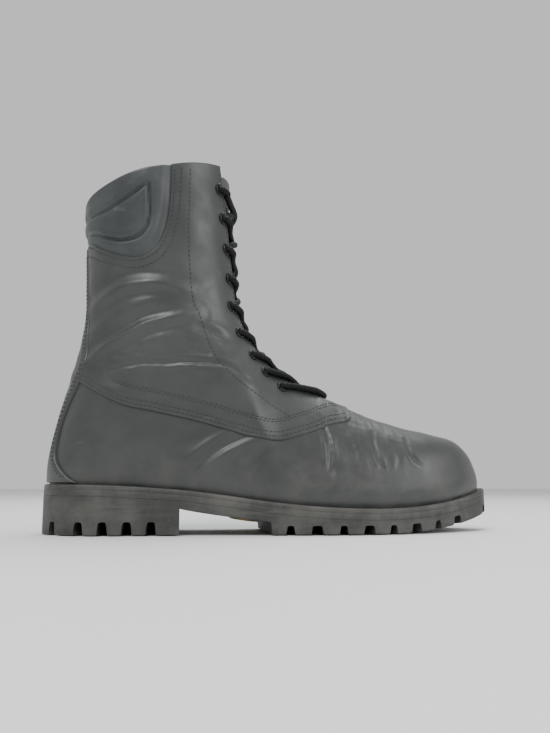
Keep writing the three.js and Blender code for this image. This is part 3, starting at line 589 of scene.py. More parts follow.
def relief(points, strength=1.0):
    """Lift of worn leather over the bare form: placed folds, slow waves and fine wrinkles."""
    x, z = points[:, 0], points[:, 2]
    rise = z - weltTop(x)
    y = points[:, 1] - bend(x) * (1 - fade(rise / SHAFT_RISE, *BEND_FADE))
    above_welt = fade(rise, 1.5, 9.0)
    ankle = bell(z - ANKLE_HEIGHT, 26) * fade(-x, -120, -95)
    flex = bell(x - FLEX_PLACE, 34) * fade(rise, 12, 30)
    slow = (0.8 + 0.5 * ankle + 0.35 * flex) * SLOW_WAVE * waves(points, SLOW_LENGTH, SEED)
    fine = ((0.10 * ankle + 0.12 * flex)
            * waves(points * (1.6, 0.7, 1.0), FINE_LENGTH, SEED + 1))
    return strength * above_welt * (foldRelief(x, y, z) + slow + fine)


def leather(name, u, v, outer, inner, emboss=None, strength=1.0):
    """A panel on both sides: grids of (u, v) with outer and inner lifts, plus the worn relief."""
    parts = []
    for side in (-1, 1):
        base = form(u.ravel(), v.ravel(), side)
        grow = form(u.ravel(), v.ravel(), side, 1.0) - base
        worn = relief(base, strength)
        lift = outer.ravel() + worn + (0 if emboss is None else emboss(base))
        top, under = ((base + grow * at[:, None]).reshape(*u.shape, 3)
                      for at in (lift, inner.ravel() + worn))
        parts.append(shellOf(top, under, side > 0, (u < 1e-9) | (u > 1 - 1e-9)))
    return makeMesh(name, *welded(*together(parts)), 40.0)


def fromEdges(u, v):
    """Distances in mm over the leather of each grid point from the patch's four edges."""
    points = form(u.ravel(), v.ravel(), 1).reshape(*u.shape, 3)
    left, low = runOf(points.swapaxes(0, 1)).T, runOf(points)
    return left, left[:, -1:] - left, low, low[-1:] - low


# Vamp and counter: from under the welt's edge to just under the quarter
UNDERLAP = 0.011
vamp_u, vamp_v = patch(level(0.0), lambda u: seamLevel(u) + UNDERLAP,
                       upright(0.0, 0.0, SEAM_V[0] + UNDERLAP),
                       upright(1.0, 0.0, tab_v + UNDERLAP), np.linspace(0, 1, 270),
                       edgeSteps(84, 70.0, edge=(0.0, 0.4), ends=(True, False)))
vamp = leather("vamp", vamp_u, vamp_v, np.zeros_like(vamp_u), np.full_like(vamp_u, -LEATHER))

# Quarters with their facings, over the vamp and up to the collar pad
facing_v = np.linspace(tab_v, 1, 900)
lowest = int(np.argmin(PAD_V[1:])) + 1
PAD_SHARE = (PAD_V[lowest] - seamLevel(PAD_U[lowest])) / (1 - seamLevel(PAD_U[lowest]))
PAD_FAN = 0.24


def quarterTop(u):
    """Upper end of the quarter's rows, so that they meet the pad's lower edge one after another."""
    share = PAD_SHARE - PAD_FAN * (1 - np.sqrt(np.clip(u / PAD_U[lowest], 0, 1)))
    bent = seamLevel(u) + (np.interp(u, PAD_U[1:], PAD_V[1:]) - seamLevel(u)) / share
    return np.where(u < PAD_U[lowest], bent, 1.0)


quarter_u, quarter_v = patch(seamLevel, quarterTop, (PAD_U, PAD_V),
                             (facingPlace(facing_v), facing_v),
                             edgeSteps(112, 110.0, edge=(0.0, 0.12, 0.35, 0.7, 1.2)),
                             edgeSteps(170, 190.0))
left, right, low, high = fromEdges(quarter_u, quarter_v)
left = np.where(quarter_u[:, :1] > 0, left, 99.0)
right = np.where(quarter_u[:, -1:] < 1, right, 99.0)
fall = rim(left, 0.9) + rim(right, 0.9) + rim(low, 1.0) + rim(high, 0.9)
quarter = leather("quarter", quarter_u, quarter_v,
                  QUARTER_STEP - np.minimum(fall, 1.1), np.full_like(quarter_u, -LEATHER + 0.02))

# Collar pad: a padded panel that runs on under the quarter's edge, with a line pressed into it
under_pad = shifted(PAD_LINE, -2.5)
under_u, under_v = toLevel(*under_pad.T)
corner = int(np.argmax(under_pad[:, 0] > 0.232 * SOLE_LENGTH))
first = int(np.argmax(under_u > 0)) - 1
LOW_U = np.concatenate([[0.0], under_u[first + 1:corner + 1]])
LOW_V = np.concatenate([[under_v[first]], under_v[first + 1:corner + 1]])


def padLow(u):
    return np.interp(u, LOW_U, LOW_V) + 1.2 * np.maximum(u - LOW_U[-1], 0)


collar_u, collar_v = patch(padLow, level(1.0), upright(0.0, LOW_V[0], 1.0),
                           (under_u[corner:], under_v[corner:]),
                           edgeSteps(80, 60.0, edge=(0.0, 0.3, 0.8), ends=(False, True)),
                           edgeSteps(92, 90.0))
PAD_LINE_Z = np.stack([PAD_LINE[:, 0], PAD_LINE[:, 1] + weltTop(PAD_LINE[:, 0])], axis=1)
PRESSED = [densify(np.array(line, float) + (3.0, 0.0)) for line in (
    [(60, 222), (60.6, 212), (61, 202), (60, 194), (56, 188), (50, 185.5), (42, 185.5), (33, 189),
     (24, 195), (14, 199)],
    [(60, 222), (48, 213), (36, 207), (25, 206), (14, 207)])]


CUSHION, PRESS_DEPTH, PRESS_LIP = 2.2, 1.9, 0.35


def padEmboss(base):
    """The pad's soft rise from its seam, with the pressed lines and a lip beside them."""
    x, z = base[:, 0], base[:, 2]
    edge, *lines = (nearest(line[::3], x, z)[0] for line in (PAD_LINE_Z, *PRESSED))
    line = np.minimum(*lines)
    top = SHAFT_RISE - (z - weltTop(x))
    cushion = CUSHION * fade(edge, 0.2, 6) * fade(top, -2, 9)
    return cushion - PRESS_DEPTH * bell(line, 1.3) + PRESS_LIP * bell(line - 4.5, 3.0)


left, right, low, high = fromEdges(collar_u, collar_v)
collar = leather("collar_pad", collar_u, collar_v, 0.2 - rim(high, 1.6) * 0.9,
                 np.full_like(collar_u, -LEATHER), padEmboss)

# Back stay: a strip up the heel, widest over the counter
stay_rise = np.linspace(STAY_ROWS[0, 0], STAY_ROWS[-1, 0], 150)
STAY_V = np.interp(stay_rise * SHAFT_RISE, BACK[:, 1], np.linspace(0, 1, len(BACK)))
STAY_U = widthPlace(STAY_V, smooth(STAY_ROWS, stay_rise) * HEEL_WIDTH / 2, narrow=0.0)
stay_u, stay_v = patch(level(STAY_V[0]), level(STAY_V[-1]), upright(0.0, STAY_V[0], STAY_V[-1]),
                       (STAY_U, STAY_V), edgeSteps(24, 22.0, ends=(False, True)),
                       edgeSteps(165, 155.0))
left, right, low, high = fromEdges(stay_u, stay_v)
stay = leather("back_stay", stay_u, stay_v, STAY_STEP - rim(right, 0.8) * 1.2
               - rim(np.minimum(low, high), 0.8), np.full_like(stay_u, 0.1))

# Lining: the inside of the wall
facing_v = np.linspace(0, 1, 1500)
lining_u, lining_v = patch(level(0.0), level(1.0), upright(0.0, 0.0, 1.0),
                           (facingPlace(facing_v), facing_v), np.linspace(0, 1, 84),
                           edgeSteps(80, 224.0, edge=(0.0, 0.3, 0.8), ends=(False, True)))
lining = leather("lining", lining_u, lining_v, np.full_like(lining_u, -LEATHER + 0.1),
                 np.full_like(lining_u, -WALL), strength=0.9)

# Tongue: one leather piece under the facings
TONGUE_TOP, TONGUE_LOW = 1 - TONGUE_ROWS[[0, -1], 0] * THROAT_LENGTH / FRONT_LENGTH
TONGUE_OUT = -WALL - TONGUE_GAP
TONGUE_EDGE = (0.0, 0.2, 0.6, 1.2)
tongue_run = np.linspace(TONGUE_LOW, TONGUE_TOP, 170)
half = smooth(TONGUE_ROWS, (1 - tongue_run) * FRONT_LENGTH / THROAT_LENGTH) * SHAFT_WIDTH / 2
tongue_u, tongue_v = patch(level(TONGUE_LOW), level(TONGUE_TOP),
                           (widthPlace(tongue_run, half, offset=TONGUE_OUT), tongue_run),
                           upright(1.0, TONGUE_LOW, TONGUE_TOP),
                           edgeSteps(40, 30.0, edge=TONGUE_EDGE, ends=(True, False)),
                           edgeSteps(150, 200.0, edge=TONGUE_EDGE))
from_left = fromEdges(tongue_u, tongue_v)[0]
fall = rim(np.minimum(from_left, (TONGUE_TOP - tongue_v) * FRONT_LENGTH), 1.5)
tongue = leather("tongue", tongue_u, tongue_v, TONGUE_OUT - fall,
                 TONGUE_OUT - TONGUE_THICKNESS + fall * 0.9)

# Heights of the sole's layers
def midsoleTop(x):
    return weltTop(x) - WELT_THICKNESS - FIT_GAP


def outsoleTop(x):
    return midsoleTop(x) - MIDSOLE_THICKNESS - FIT_GAP


def treadFace(x):
    run = np.maximum(x - BALL_FLAT_END, 0) / (SOLE_LENGTH - BALL_FLAT_END)
    return TOE_SPRING * run * run


def outsoleBottom(x):
    share = np.clip((x - SHANK_START) / (SHANK_END - SHANK_START), 0, 1)
    waist = SHANK_RISE_HEEL + (SHANK_RISE_BALL - SHANK_RISE_HEEL) * share ** 0.8
    return waist + (treadFace(x) - waist) * fade(x, SHANK_END - 1.2, SHANK_END)


dense = SOLE_LENGTH * cosineSteps(3000)
edge = runOf(np.column_stack([dense, soleHalf(dense)]))
SOLE_STEPS = 520
SOLE_ROWS_X = np.interp(np.linspace(0, edge[-1], SOLE_STEPS), edge, dense)
SOLE_ROWS_X[0], SOLE_ROWS_X[-1] = 0.0, SOLE_LENGTH


def loopAt(inset, height, places=SOLE_ROWS_X):
    """Closed loop round the sole, drawn in by an inset: outer side heel to toe, inner side back."""
    x = inset + (SOLE_LENGTH - 2 * inset) * places / SOLE_LENGTH
    half = soleHalf(x, inset)
    half[0] = half[-1] = 0
    z = height(x)
    near = np.stack([x, bend(x) - half, z], axis=1)
    far = np.stack([x, bend(x) + half, z], axis=1)
    return np.vstack([near, far[-2:0:-1]])


def wallFaces(rings, count, closed=False):
    """Quads between loops of count points each, facing out; closed joins the last to the first."""
    k, ring = np.arange(count), np.arange(rings if closed else rings - 1)[:, None]
    after, low, high = (k + 1) % count, ring * count, (ring + 1) % rings * count
    return np.stack([k + low, after + low, after + high, k + high], axis=-1).reshape(-1, 4)


def capFaces(count, start, up):
    """Quads across a loop, from side to side."""
    rows = count // 2 + 1
    i = np.arange(rows - 1)
    far = (count - np.arange(rows)) % count
    faces = np.stack([i, i + 1, far[1:], far[:-1]], axis=1)
    faces[-1, 1] = faces[-1, 2] = rows - 1
    return (faces if up else faces[:, ::-1]) + start


def shade(thing, values):
    """A number per vertex for the materials' painted shade: 1 deep in a cut, 0 elsewhere."""
    layer = thing.data.attributes.new("painted_cut_shade", "FLOAT", "POINT")
    layer.data.foreach_set("value", np.asarray(values, np.float32))


def offWall(x, y):
    """1 inside the sole's outline and 0 on its side wall."""
    return soleHalf(x) - np.abs(y - bend(x)) > 0.2


def cornersOf(thing):
    """Vertices of a piece in boot millimetres."""
    flat = np.empty(len(thing.data.vertices) * 3, np.float32)
    thing.data.vertices.foreach_get("co", flat)
    return flat.reshape(-1, 3).astype(float) * 1000 - (SHIFT_X, SHIFT_Y, 0.0)


def plate(name, loops, extra=None):
    """A sole layer from stacked loops, closed across its top, and below by an extra or across."""
    count = len(loops[0])
    faces = [wallFaces(len(loops), count), capFaces(count, (len(loops) - 1) * count, True)]
    if extra is None:
        faces.append(capFaces(count, 0, False))
    parts = [(np.vstack(loops), np.vstack(faces))] + ([] if extra is None else [extra])
    return makeMesh(name, *welded(*together(parts), grain=0.002))


def slotShape(px, py, x, side, reach, wide, slim=1.6):
    """Signed distance to a slot cut in from the sole's edge and square to it."""
    places = np.array([x, max(x - 2, 0.4), min(x + 2, SOLE_LENGTH - 0.4)])
    middle, before, after = np.stack([places, bend(places) + side * soleHalf(places)], axis=1)
    run = unit(after - before)
    along = np.abs((px - middle[0]) * run[0] + (py - middle[1]) * run[1])
    deep = ((px - middle[0]) * run[1] - (py - middle[1]) * run[0]) * side
    half = wide + (slim - wide) * np.clip(deep / reach, 0, 1)
    beyond = deep - reach + slim
    return np.where(beyond < 0, along - half, np.hypot(along, beyond) - slim)


def starShape(px, py, x, y, turn, radius=7.2):
    """Signed distance, roughly, to a six-pointed pocket."""
    angle = np.arctan2(py - y, px - x) - turn
    away = np.hypot(px - x, py - y)
    return away - radius * (0.83 + 0.17 * np.cos(6 * angle))


# Slots: place along the sole, side, reach and half width. Pockets: place and turn
SLOT_HALVES = (2.5, 3.5)
SLOT_REACH, TOE_REACH, HEEL_REACH, BACK_REACH = 25.0, 14.0, 21.5, 17.5
FOREFOOT_SLOTS = [(x, side, SLOT_REACH, SLOT_HALVES[k % 2])
                  for side, places in ((-1, np.arange(155, 278, 16.4)),
                                       (1, np.arange(163, 286, 15.5)))
                  for k, x in enumerate(places)]
FOREFOOT_SLOTS += [(SOLE_LENGTH - 6, 1, TOE_REACH, 2.4), (SOLE_LENGTH - 5, -1, TOE_REACH, 2.4)]
POCKETS = [(160 + 11.4 * k, float(bend(160 + 11.4 * k)) + (6.5 if k % 2 else -6.5), 0.3 * k)
           for k in range(10)]
HEEL_SLOTS = [(x, side, HEEL_REACH, 2.9) for side in (-1, 1) for x in np.arange(26, 79, 14.6)]
HEEL_SLOTS += [(9, side, BACK_REACH, 2.9) for side in (-1, 1)]
HEEL_POCKETS = [(34 + 19 * k, float(bend(34.0)), 0.26) for k in range(3)]
EDGE_ROUND = 0.7
TREAD_COLUMNS, HEEL_COLUMNS = 130, 96


def cutShare(px, py, slots, pockets):
    """1 inside a cut and 0 outside, with drafted walls between; and a shallow step in pockets."""
    cut = np.zeros_like(px)
    for x, side, reach, wide in slots:
        away = -slotShape(px, py, x, side, reach, wide)
        dome = np.sqrt(1 - (1 - np.clip(away / 2.2, 0, 1)) ** 2)
        cut = np.maximum(cut, 0.8 * fade(away, -0.4, 0.5) + 0.2 * dome)
    for x, y, turn in pockets:
        away = starShape(px, py, x, y, turn)
        cut = np.maximum(cut, 0.72 * fade(-away, -0.5, 0.7) + 0.28 * fade(-away, 2.4, 3.2))
    return cut


def treadGrid(rows_x, columns, height):
    """Bottom face of a sole layer as a grid of heights, facing down."""
    w = 0.25 * np.sin(np.linspace(-1, 1, columns) * np.pi / 2) + 0.75 * np.linspace(-1, 1, columns)
    ends = (rows_x < 0.01) | (rows_x > SOLE_LENGTH - 0.01)
    half = np.where(ends, 0.0, soleHalf(rows_x))
    px = np.repeat(rows_x[:, None], columns, axis=1)
    py = bend(px) + half[:, None] * w[None]
    pz = height(px, py, half[:, None] * (1 - np.abs(w))[None])
    return np.stack([px, py, pz], axis=-1)


def forefootCut(px, py):
    """Depth of the forefoot's slots and pockets, from 0 to 1; none in the waist."""
    return cutShare(px, py, FOREFOOT_SLOTS, POCKETS) * fade(px, SHANK_END, SHANK_END + 1)


def outsoleHeight(px, py, edge):
    cut = forefootCut(px, py)
    rounding = rim(edge, EDGE_ROUND) * (1 - cut) * (px > SHANK_START)
    return outsoleBottom(px) + TREAD_DEPTH * cut + rounding


rows_x = SOLE_ROWS_X.copy()
rows_x[0], rows_x[-1] = 1e-4, SOLE_LENGTH - 1e-4
tread = treadGrid(rows_x, TREAD_COLUMNS, outsoleHeight)
base = np.vstack([tread[:, 0], tread[-2:0:-1, -1]])
wall_height = (outsoleTop(base[:, 0]) - 0.1 - base[:, 2])[:, None]
loops = [base + wall_height * (0, 0, share) for share in (0.0, 0.03, 0.35, 0.7, 1.0)]
loops.append(loopAt(0.12, outsoleTop))
outsole = plate("outsole_tread", loops, (tread.reshape(-1, 3), gridFaces(*tread.shape[:2])))
x, y, z = cornersOf(outsole).T
cut = forefootCut(x, y)
# Painted shade: the tread gets darker towards the floor of each slot and pocket, and none on the
# side wall
shade(outsole, np.clip((z - treadFace(x)) / TREAD_DEPTH, 0, 1)
      * (z < outsoleBottom(x) + TREAD_DEPTH * cut + 0.12) * (cut > 0.02) * offWall(x, y))


def heelHeight(px, py, edge):
    cut = cutShare(px, py, HEEL_SLOTS, HEEL_POCKETS)
    slots = cutShare(px, py, HEEL_SLOTS, [])
    deep = TREAD_DEPTH + (HEEL_SLOT_DEPTH - 1.0 - TREAD_DEPTH) * fade(slots, 0.0, 0.6)
    return deep * cut + (rim(edge, EDGE_ROUND) + rim(SHANK_START - px, EDGE_ROUND)) * (1 - cut)


heel_x = np.append(SOLE_ROWS_X[SOLE_ROWS_X < SHANK_START - 0.3], SHANK_START)
heel_x[0] = 1e-4
heel_bottom = treadGrid(heel_x, HEEL_COLUMNS, heelHeight)
heel_top = heel_bottom.copy()
heel_top[..., 2] = SHANK_RISE_HEEL - 0.02
points, quads = shellOf(heel_top, heel_bottom, False)
heel = makeMesh("heel_lugs", *welded(points, quads[:, ::-1], grain=0.002))
x, y, z = cornersOf(heel).T
# Painted shade: the heel gets darker deep in its slots and pockets, and none on the side wall
shade(heel, np.clip(z / TREAD_DEPTH, 0, 1) * (z < SHANK_RISE_HEEL - 1) * offWall(x, y))

midsole = plate("midsole_band", [
    loopAt(0.22, lambda x: midsoleTop(x) - MIDSOLE_THICKNESS - 0.25),
    loopAt(0.1, lambda x: midsoleTop(x) - MIDSOLE_THICKNESS),
    loopAt(0.06, lambda x: midsoleTop(x) - MIDSOLE_THICKNESS + 1.7),
    loopAt(0.1, midsoleTop), loopAt(0.22, lambda x: midsoleTop(x) + 0.25)])

# Welt: a ledge round the upper, with a groove for its stitches; inset, height over its underside
WELT_PROFILE = [(9.5, 0.0), (0.25, 0.0), (0.12, 0.2), (0.15, 1.2), (0.25, 2.1), (0.65, 2.75),
                (1.3, 3.0), (1.75, 3.0), (2.05, 2.7), (2.45, 2.7), (2.75, 3.0), (4.4, 3.05),
                (5.6, 2.75), (9.5, 2.6)]


def weltLoop(inset, lift):
    return loopAt(inset, lambda x: weltTop(x) - WELT_THICKNESS + lift)


loops = [weltLoop(*row) for row in WELT_PROFILE]
welt = makeMesh("welt_ledge", *welded(
    np.vstack(loops), wallFaces(len(loops), len(loops[0]), closed=True), grain=0.002))


def insoleLoop(grow, lift):
    """Loop round the inside of the upper, on the midsole."""
    u = cosineSteps(160)
    near, far = (form(u, np.zeros_like(u), side, -WALL - FIT_GAP - grow) for side in (-1, 1))
    return np.vstack([near, far[-2:0:-1]]) + (0, 0, lift - WELT_THICKNESS)


insole = plate("insole_board", [insoleLoop(*row) for row in (
    (0.2, 0.0), (0.0, 0.4), (0.0, 2.4), (0.25, 2.85), (0.8, 3.0))])


def turned(profile, sides):
    """Rings round the z axis from (radius, height) rows: rings of as many points as sides."""
    angle = np.linspace(0, 2 * np.pi, sides, endpoint=False)
    radius, height = np.array(profile, float).T[:, :, None]
    return np.stack([radius * np.cos(angle), radius * np.sin(angle), height + 0 * angle], axis=-1)


def facingPoint(v, y, offset):
    """Points on the front half of level lines at distances y from the middle, on a grown form."""
    v, y = np.broadcast_arrays(np.asarray(v, float), np.asarray(y, float))
    x, rise, _ = sideOf(widthPlace(v, np.abs(y), offset=offset, moved=offset), v, offset)
    middle = bend(x) * (1 - fade(rise / SHAFT_RISE, *BEND_FADE))
    return np.stack([x, middle + y, weltTop(x) + rise], axis=-1)


# Eyelets: rolled rings on the facings
row_v = 1 - (EYELET_TOP + EYELET_PITCH * np.arange(EYELETS)) / FRONT_LENGTH
EYELET_POINT, EYELET_OUT = {}, {}
for side in (-1, 1):
    y = side * EYELET_HALF * SHAFT_WIDTH / 2
    point = facingPoint(row_v, y, QUARTER_STEP)
    along = facingPoint(row_v + 0.01, y, QUARTER_STEP) - point
    out = unit(np.cross(along, facingPoint(row_v, y + side * 2, QUARTER_STEP) - point))
    out = np.where(out[:, :1] < 0, -out, out)
    point = point + out * relief(point)[:, None]
    EYELET_POINT[side], EYELET_OUT[side] = point, out
RING_PROFILE = [(1.75, -1.4), (2.25, -1.4), (2.35, 0.1), (3.5, 0.1), (3.95, 0.25), (4.0, 0.5),
                (3.8, 0.8), (3.3, 1.05), (2.7, 1.08), (2.2, 0.95), (1.85, 0.6), (1.75, 0.1)]
RING_SIDES = 30
ring = turned(RING_PROFILE, RING_SIDES).reshape(-1, 3)
parts = []
for side in (-1, 1):
    for point, out in zip(EYELET_POINT[side], EYELET_OUT[side]):
        a = unit(np.cross(out, (0.0, 0.0, 1.0)))
        parts.append((point + ring @ np.stack([a, np.cross(out, a), out]),
                      wallFaces(len(RING_PROFILE), RING_SIDES, closed=True)))
eyelets = makeMesh("eyelets", *together(parts), 50)


def curveThrough(points, count):
    """Smooth curve through points, paced by the root of their distances, in even steps."""
    points = np.asarray(points, float)
    pace = np.concatenate([[0], np.cumsum(np.sqrt(np.diff(runOf(points))))])
    rows = np.column_stack([pace, points])
    fine = np.linspace(0, pace[-1], 400)
    line = np.stack([smooth(rows, fine, 1 + i) for i in range(3)], axis=1)
    run = runOf(line)
    return readLine(np.linspace(0, run[-1], count), run, line), run[-1]


def tube(line, radius, sides, length):
    """A round cord along a line, closed at both ends, with UV: turns round it, mm along it."""
    run = unit(np.gradient(line, axis=0))
    frames = [unit(np.cross(run[0], (0.3, 0.2, 1.0)))]
    for k in range(1, len(line)):
        frames.append(unit(frames[-1] - run[k] * (frames[-1] @ run[k])))
    a = np.array(frames)[:, None]
    b = np.cross(run, a[:, 0])[:, None]
    angle = (np.arange(sides) * 2 * np.pi / sides)[:, None]
    rings = (line[:, None] + (a * np.cos(angle) + b * np.sin(angle)) * radius)[1:-1]
    points = np.vstack([line[:1], rings.reshape(-1, 3), line[-1:]])
    count = len(rings)
    i, j = (k.ravel() for k in np.indices((count - 1, sides)))
    k = np.arange(sides)
    first, last = np.zeros_like(k), np.full_like(k, count - 1)
    # Corners of each triangle as ring and turn; the tips are the rings before and after all others
    along = [(i, i, i + 1), (i, i + 1, i + 1), (first - 1, first, first), (last + 1, last, last)]
    around = [(j, j + 1, j + 1), (j, j + 1, j), (k + 0.5, k + 1, k), (k + 0.5, k, k + 1)]
    along, around = np.hstack(along), np.hstack(around)
    faces = 1 + along * sides + (around % sides).astype(int)
    faces = np.where(along < 0, 0, np.where(along == count, len(points) - 1, faces))
    uv = np.stack([around.T / sides, (along.T + 1) / (count + 1) * length], axis=-1)
    return points, faces.T, uv.reshape(-1, 2)


def lacePoint(row, y, offset):
    v = 1 - (EYELET_TOP + EYELET_PITCH * row) / FRONT_LENGTH
    return facingPoint(np.array([v]), np.array([y]), offset)[0]


def gapAt(row):
    return float(throatGap((EYELET_TOP + EYELET_PITCH * row) / THROAT_LENGTH))


CORD_STEPS, CORD_SIDES = 64, 16


def strand(path):
    """A length of cord along a path."""
    line, length = curveThrough(path, CORD_STEPS)
    return tube(line, CORD_RADIUS, CORD_SIDES, length)


def through(side, row, *lifts):
    """Points on an eyelet's middle line, at lifts above the leather."""
    return [EYELET_POINT[side][row] + EYELET_OUT[side][row] * lift for lift in lifts]


# Lace: out of each eyelet, over its facing's edge, down across the tongue and under the other
# facing, one strand of each crossing over the other; and a bar between the lowest eyelets
strands = []
for row in range(EYELETS - 1):
    for side in (-1, 1):
        over = 1.0 if side == (1 if row % 2 else -1) else 0.0
        start, end = gapAt(row + 0.12), gapAt(row + 0.9)
        strands.append(strand(
            through(side, row, -4.5, -1.0, 1.6)
            + [lacePoint(row + 0.08, side * (start + 2.0), QUARTER_STEP + 2.1),
               lacePoint(row + 0.17, side * (start - 0.8), QUARTER_STEP + 0.7),
               lacePoint(row + 0.32, side * start * 0.6, -0.9 + 1.1 * over),
               lacePoint(row + 0.5, 0.0, -1.1 + 2.2 * over),
               lacePoint(row + 0.68, -side * end * 0.6, -1.1 + 0.9 * over),
               lacePoint(row + 0.87, -side * (end - 1.0), -2.0),
               lacePoint(row + 0.94, -side * (end + 1.5), -3.2)]
            + through(-side, row + 1, -4.0, -1.0, 0.4)))
last = EYELETS - 1
gap = gapAt(last)
over_edge = [(0.02, gap + 2.0, 2.6), (0.03, gap - 1.5, 1.9)]
strands.append(strand(
    through(-1, last, -4.5, -1.0, 1.8)
    + [lacePoint(last - up, -y, QUARTER_STEP + lift) for up, y, lift in over_edge]
    + [lacePoint(last - 0.03, 0.0, 1.9)]
    + [lacePoint(last - up, y, QUARTER_STEP + lift) for up, y, lift in over_edge[::-1]]
    + through(1, last, 1.8, -1.0, -4.5)))
lace = makeMesh("lace", *together([part[:2] for part in strands]), 60,
                np.vstack([part[2] for part in strands]))

# The oval plate let into the waist: its middle, half sizes and thickness, and its profile
PLATE_X, PLATE_HALF_X, PLATE_HALF_Y, PLATE_THICK = SHANK_END - 14, 10.0, 17.0, 1.4
PLATE_PROFILE = [(0.0, 1.4), (0.96, 1.4), (1.0, 1.1), (1.0, 0.35), (0.97, 0.1), (0.93, 0.0),
                 (0.88, 0.12), (0.85, 0.6), (0.5, 0.6), (0.0, 0.6)]
PLATE_SIDES = 96
behind, under, ahead = outsoleBottom(PLATE_X + np.array([-5.0, 0.0, 5.0]))
rings = turned(PLATE_PROFILE, PLATE_SIDES) * (PLATE_HALF_X, PLATE_HALF_Y, 1.0)
rings[..., 2] += rings[..., 0] * (ahead - behind) / 10
rings += (PLATE_X, float(bend(PLATE_X)), under - PLATE_THICK - FIT_GAP)
badge = makeMesh("waist_oval", *welded(rings.reshape(-1, 3), wallFaces(
    len(PLATE_PROFILE), PLATE_SIDES)[:, ::-1], grain=0.002), 50)

# Stitches: short capsules of thread, sunk a little into the leather
CAPSULE = [(0.0, -0.5), (0.6, -0.42), (1.0, -0.25), (1.0, 0.25), (0.6, 0.42), (0.0, 0.5)]
CAPSULE_SIDES = 6


def threads(name, rows, length, width, height, pitch):
    """Capsules along rows of (points, way out), one each pitch."""
    one = turned(CAPSULE, CAPSULE_SIDES).reshape(-1, 3) * (width / 2, height / 2, length)
    faces = wallFaces(len(CAPSULE), CAPSULE_SIDES)
    parts = []
    for line, out in rows:
        run = runOf(line)
        if run[-1] < pitch:
            continue
        at = np.arange(pitch / 2, run[-1] - pitch / 3, pitch)
        way = unit(readLine(at + 0.6, run, line) - readLine(at - 0.6, run, line))
        up = unit(readLine(at, run, out))
        axes = np.stack([unit(np.cross(up, way)), up, way], axis=1)
        points = readLine(at, run, line)[:, None] + one @ axes
        steps = np.arange(len(at))[:, None, None] * len(one)
        parts.append((points.reshape(-1, 3), (faces + steps).reshape(-1, 4)))
    return makeMesh(name, *welded(*together(parts), grain=0.0005), 60)


def onLeather(u, v, lift):
    """Lines on both sides' worn leather at a lift above it, each with its way out."""
    rows = []
    for side in (-1, 1):
        base = form(u, v, side)
        out = form(u, v, side, 1.0) - base
        rows.append((base + out * (lift + relief(base))[:, None], unit(out)))
    return rows


def seamRow(line, lift):
    """A polyline in (x, rise) laid on the leather, where it shows."""
    u, v = toLevel(*line.T)
    good = (u > 0.0004) & (u < facingPlace(v) - 0.004) & (v < 0.992)
    return onLeather(u[good], v[good], lift)


# Rows of stitches, by their distances from the panels' edges
QUARTER_SEAMS, PAD_SEAMS = (2.4, 5.0, 11.6, 13.2), (-2.0, -6.2)
STAY_SEAMS, FACING_INSET = (1.8, 4.4), 2.2
rows = []
for distance in QUARTER_SEAMS:
    rows += seamRow(shifted(QUARTER_LINE[4:-2], distance), QUARTER_STEP)
for distance in PAD_SEAMS:
    rows += seamRow(shifted(PAD_LINE, distance), QUARTER_STEP)
FACING_SEAM = np.array([(89, 236), (89, 210), (89, 185), (92, 152), (98, 137), (105, 117),
                        (113, 105), (128, 92), (158, 73)], float)
FACING_SEAM[:, 1] -= weltTop(FACING_SEAM[:, 0])
rows += seamRow(densify(FACING_SEAM), QUARTER_STEP)
v = np.linspace(row_v[-1] - 0.02, 0.99, 260)
rows += onLeather(uAt(arcAt(facingPlace(v), v) - FACING_INSET, v), v, QUARTER_STEP)
v = np.linspace(STAY_V[3], STAY_V[-4], 300)
for distance in STAY_SEAMS:
    arc = arcAt(np.interp(v, STAY_V, STAY_U), v) - distance
    rows += onLeather(uAt(np.maximum(arc, 0.5), v), v, STAY_STEP)
seams = threads("seam_threads", rows, length=2.3, width=0.8, height=0.7, pitch=3.0)
loop = weltLoop(2.25, 2.85)
loop = np.vstack([loop, loop[:1]])
welt_threads = threads("welt_threads", [(loop, np.tile((0.0, 0.0, 1.0), (len(loop), 1)))],
                       length=4.0, width=0.9, height=0.8, pitch=5.2)

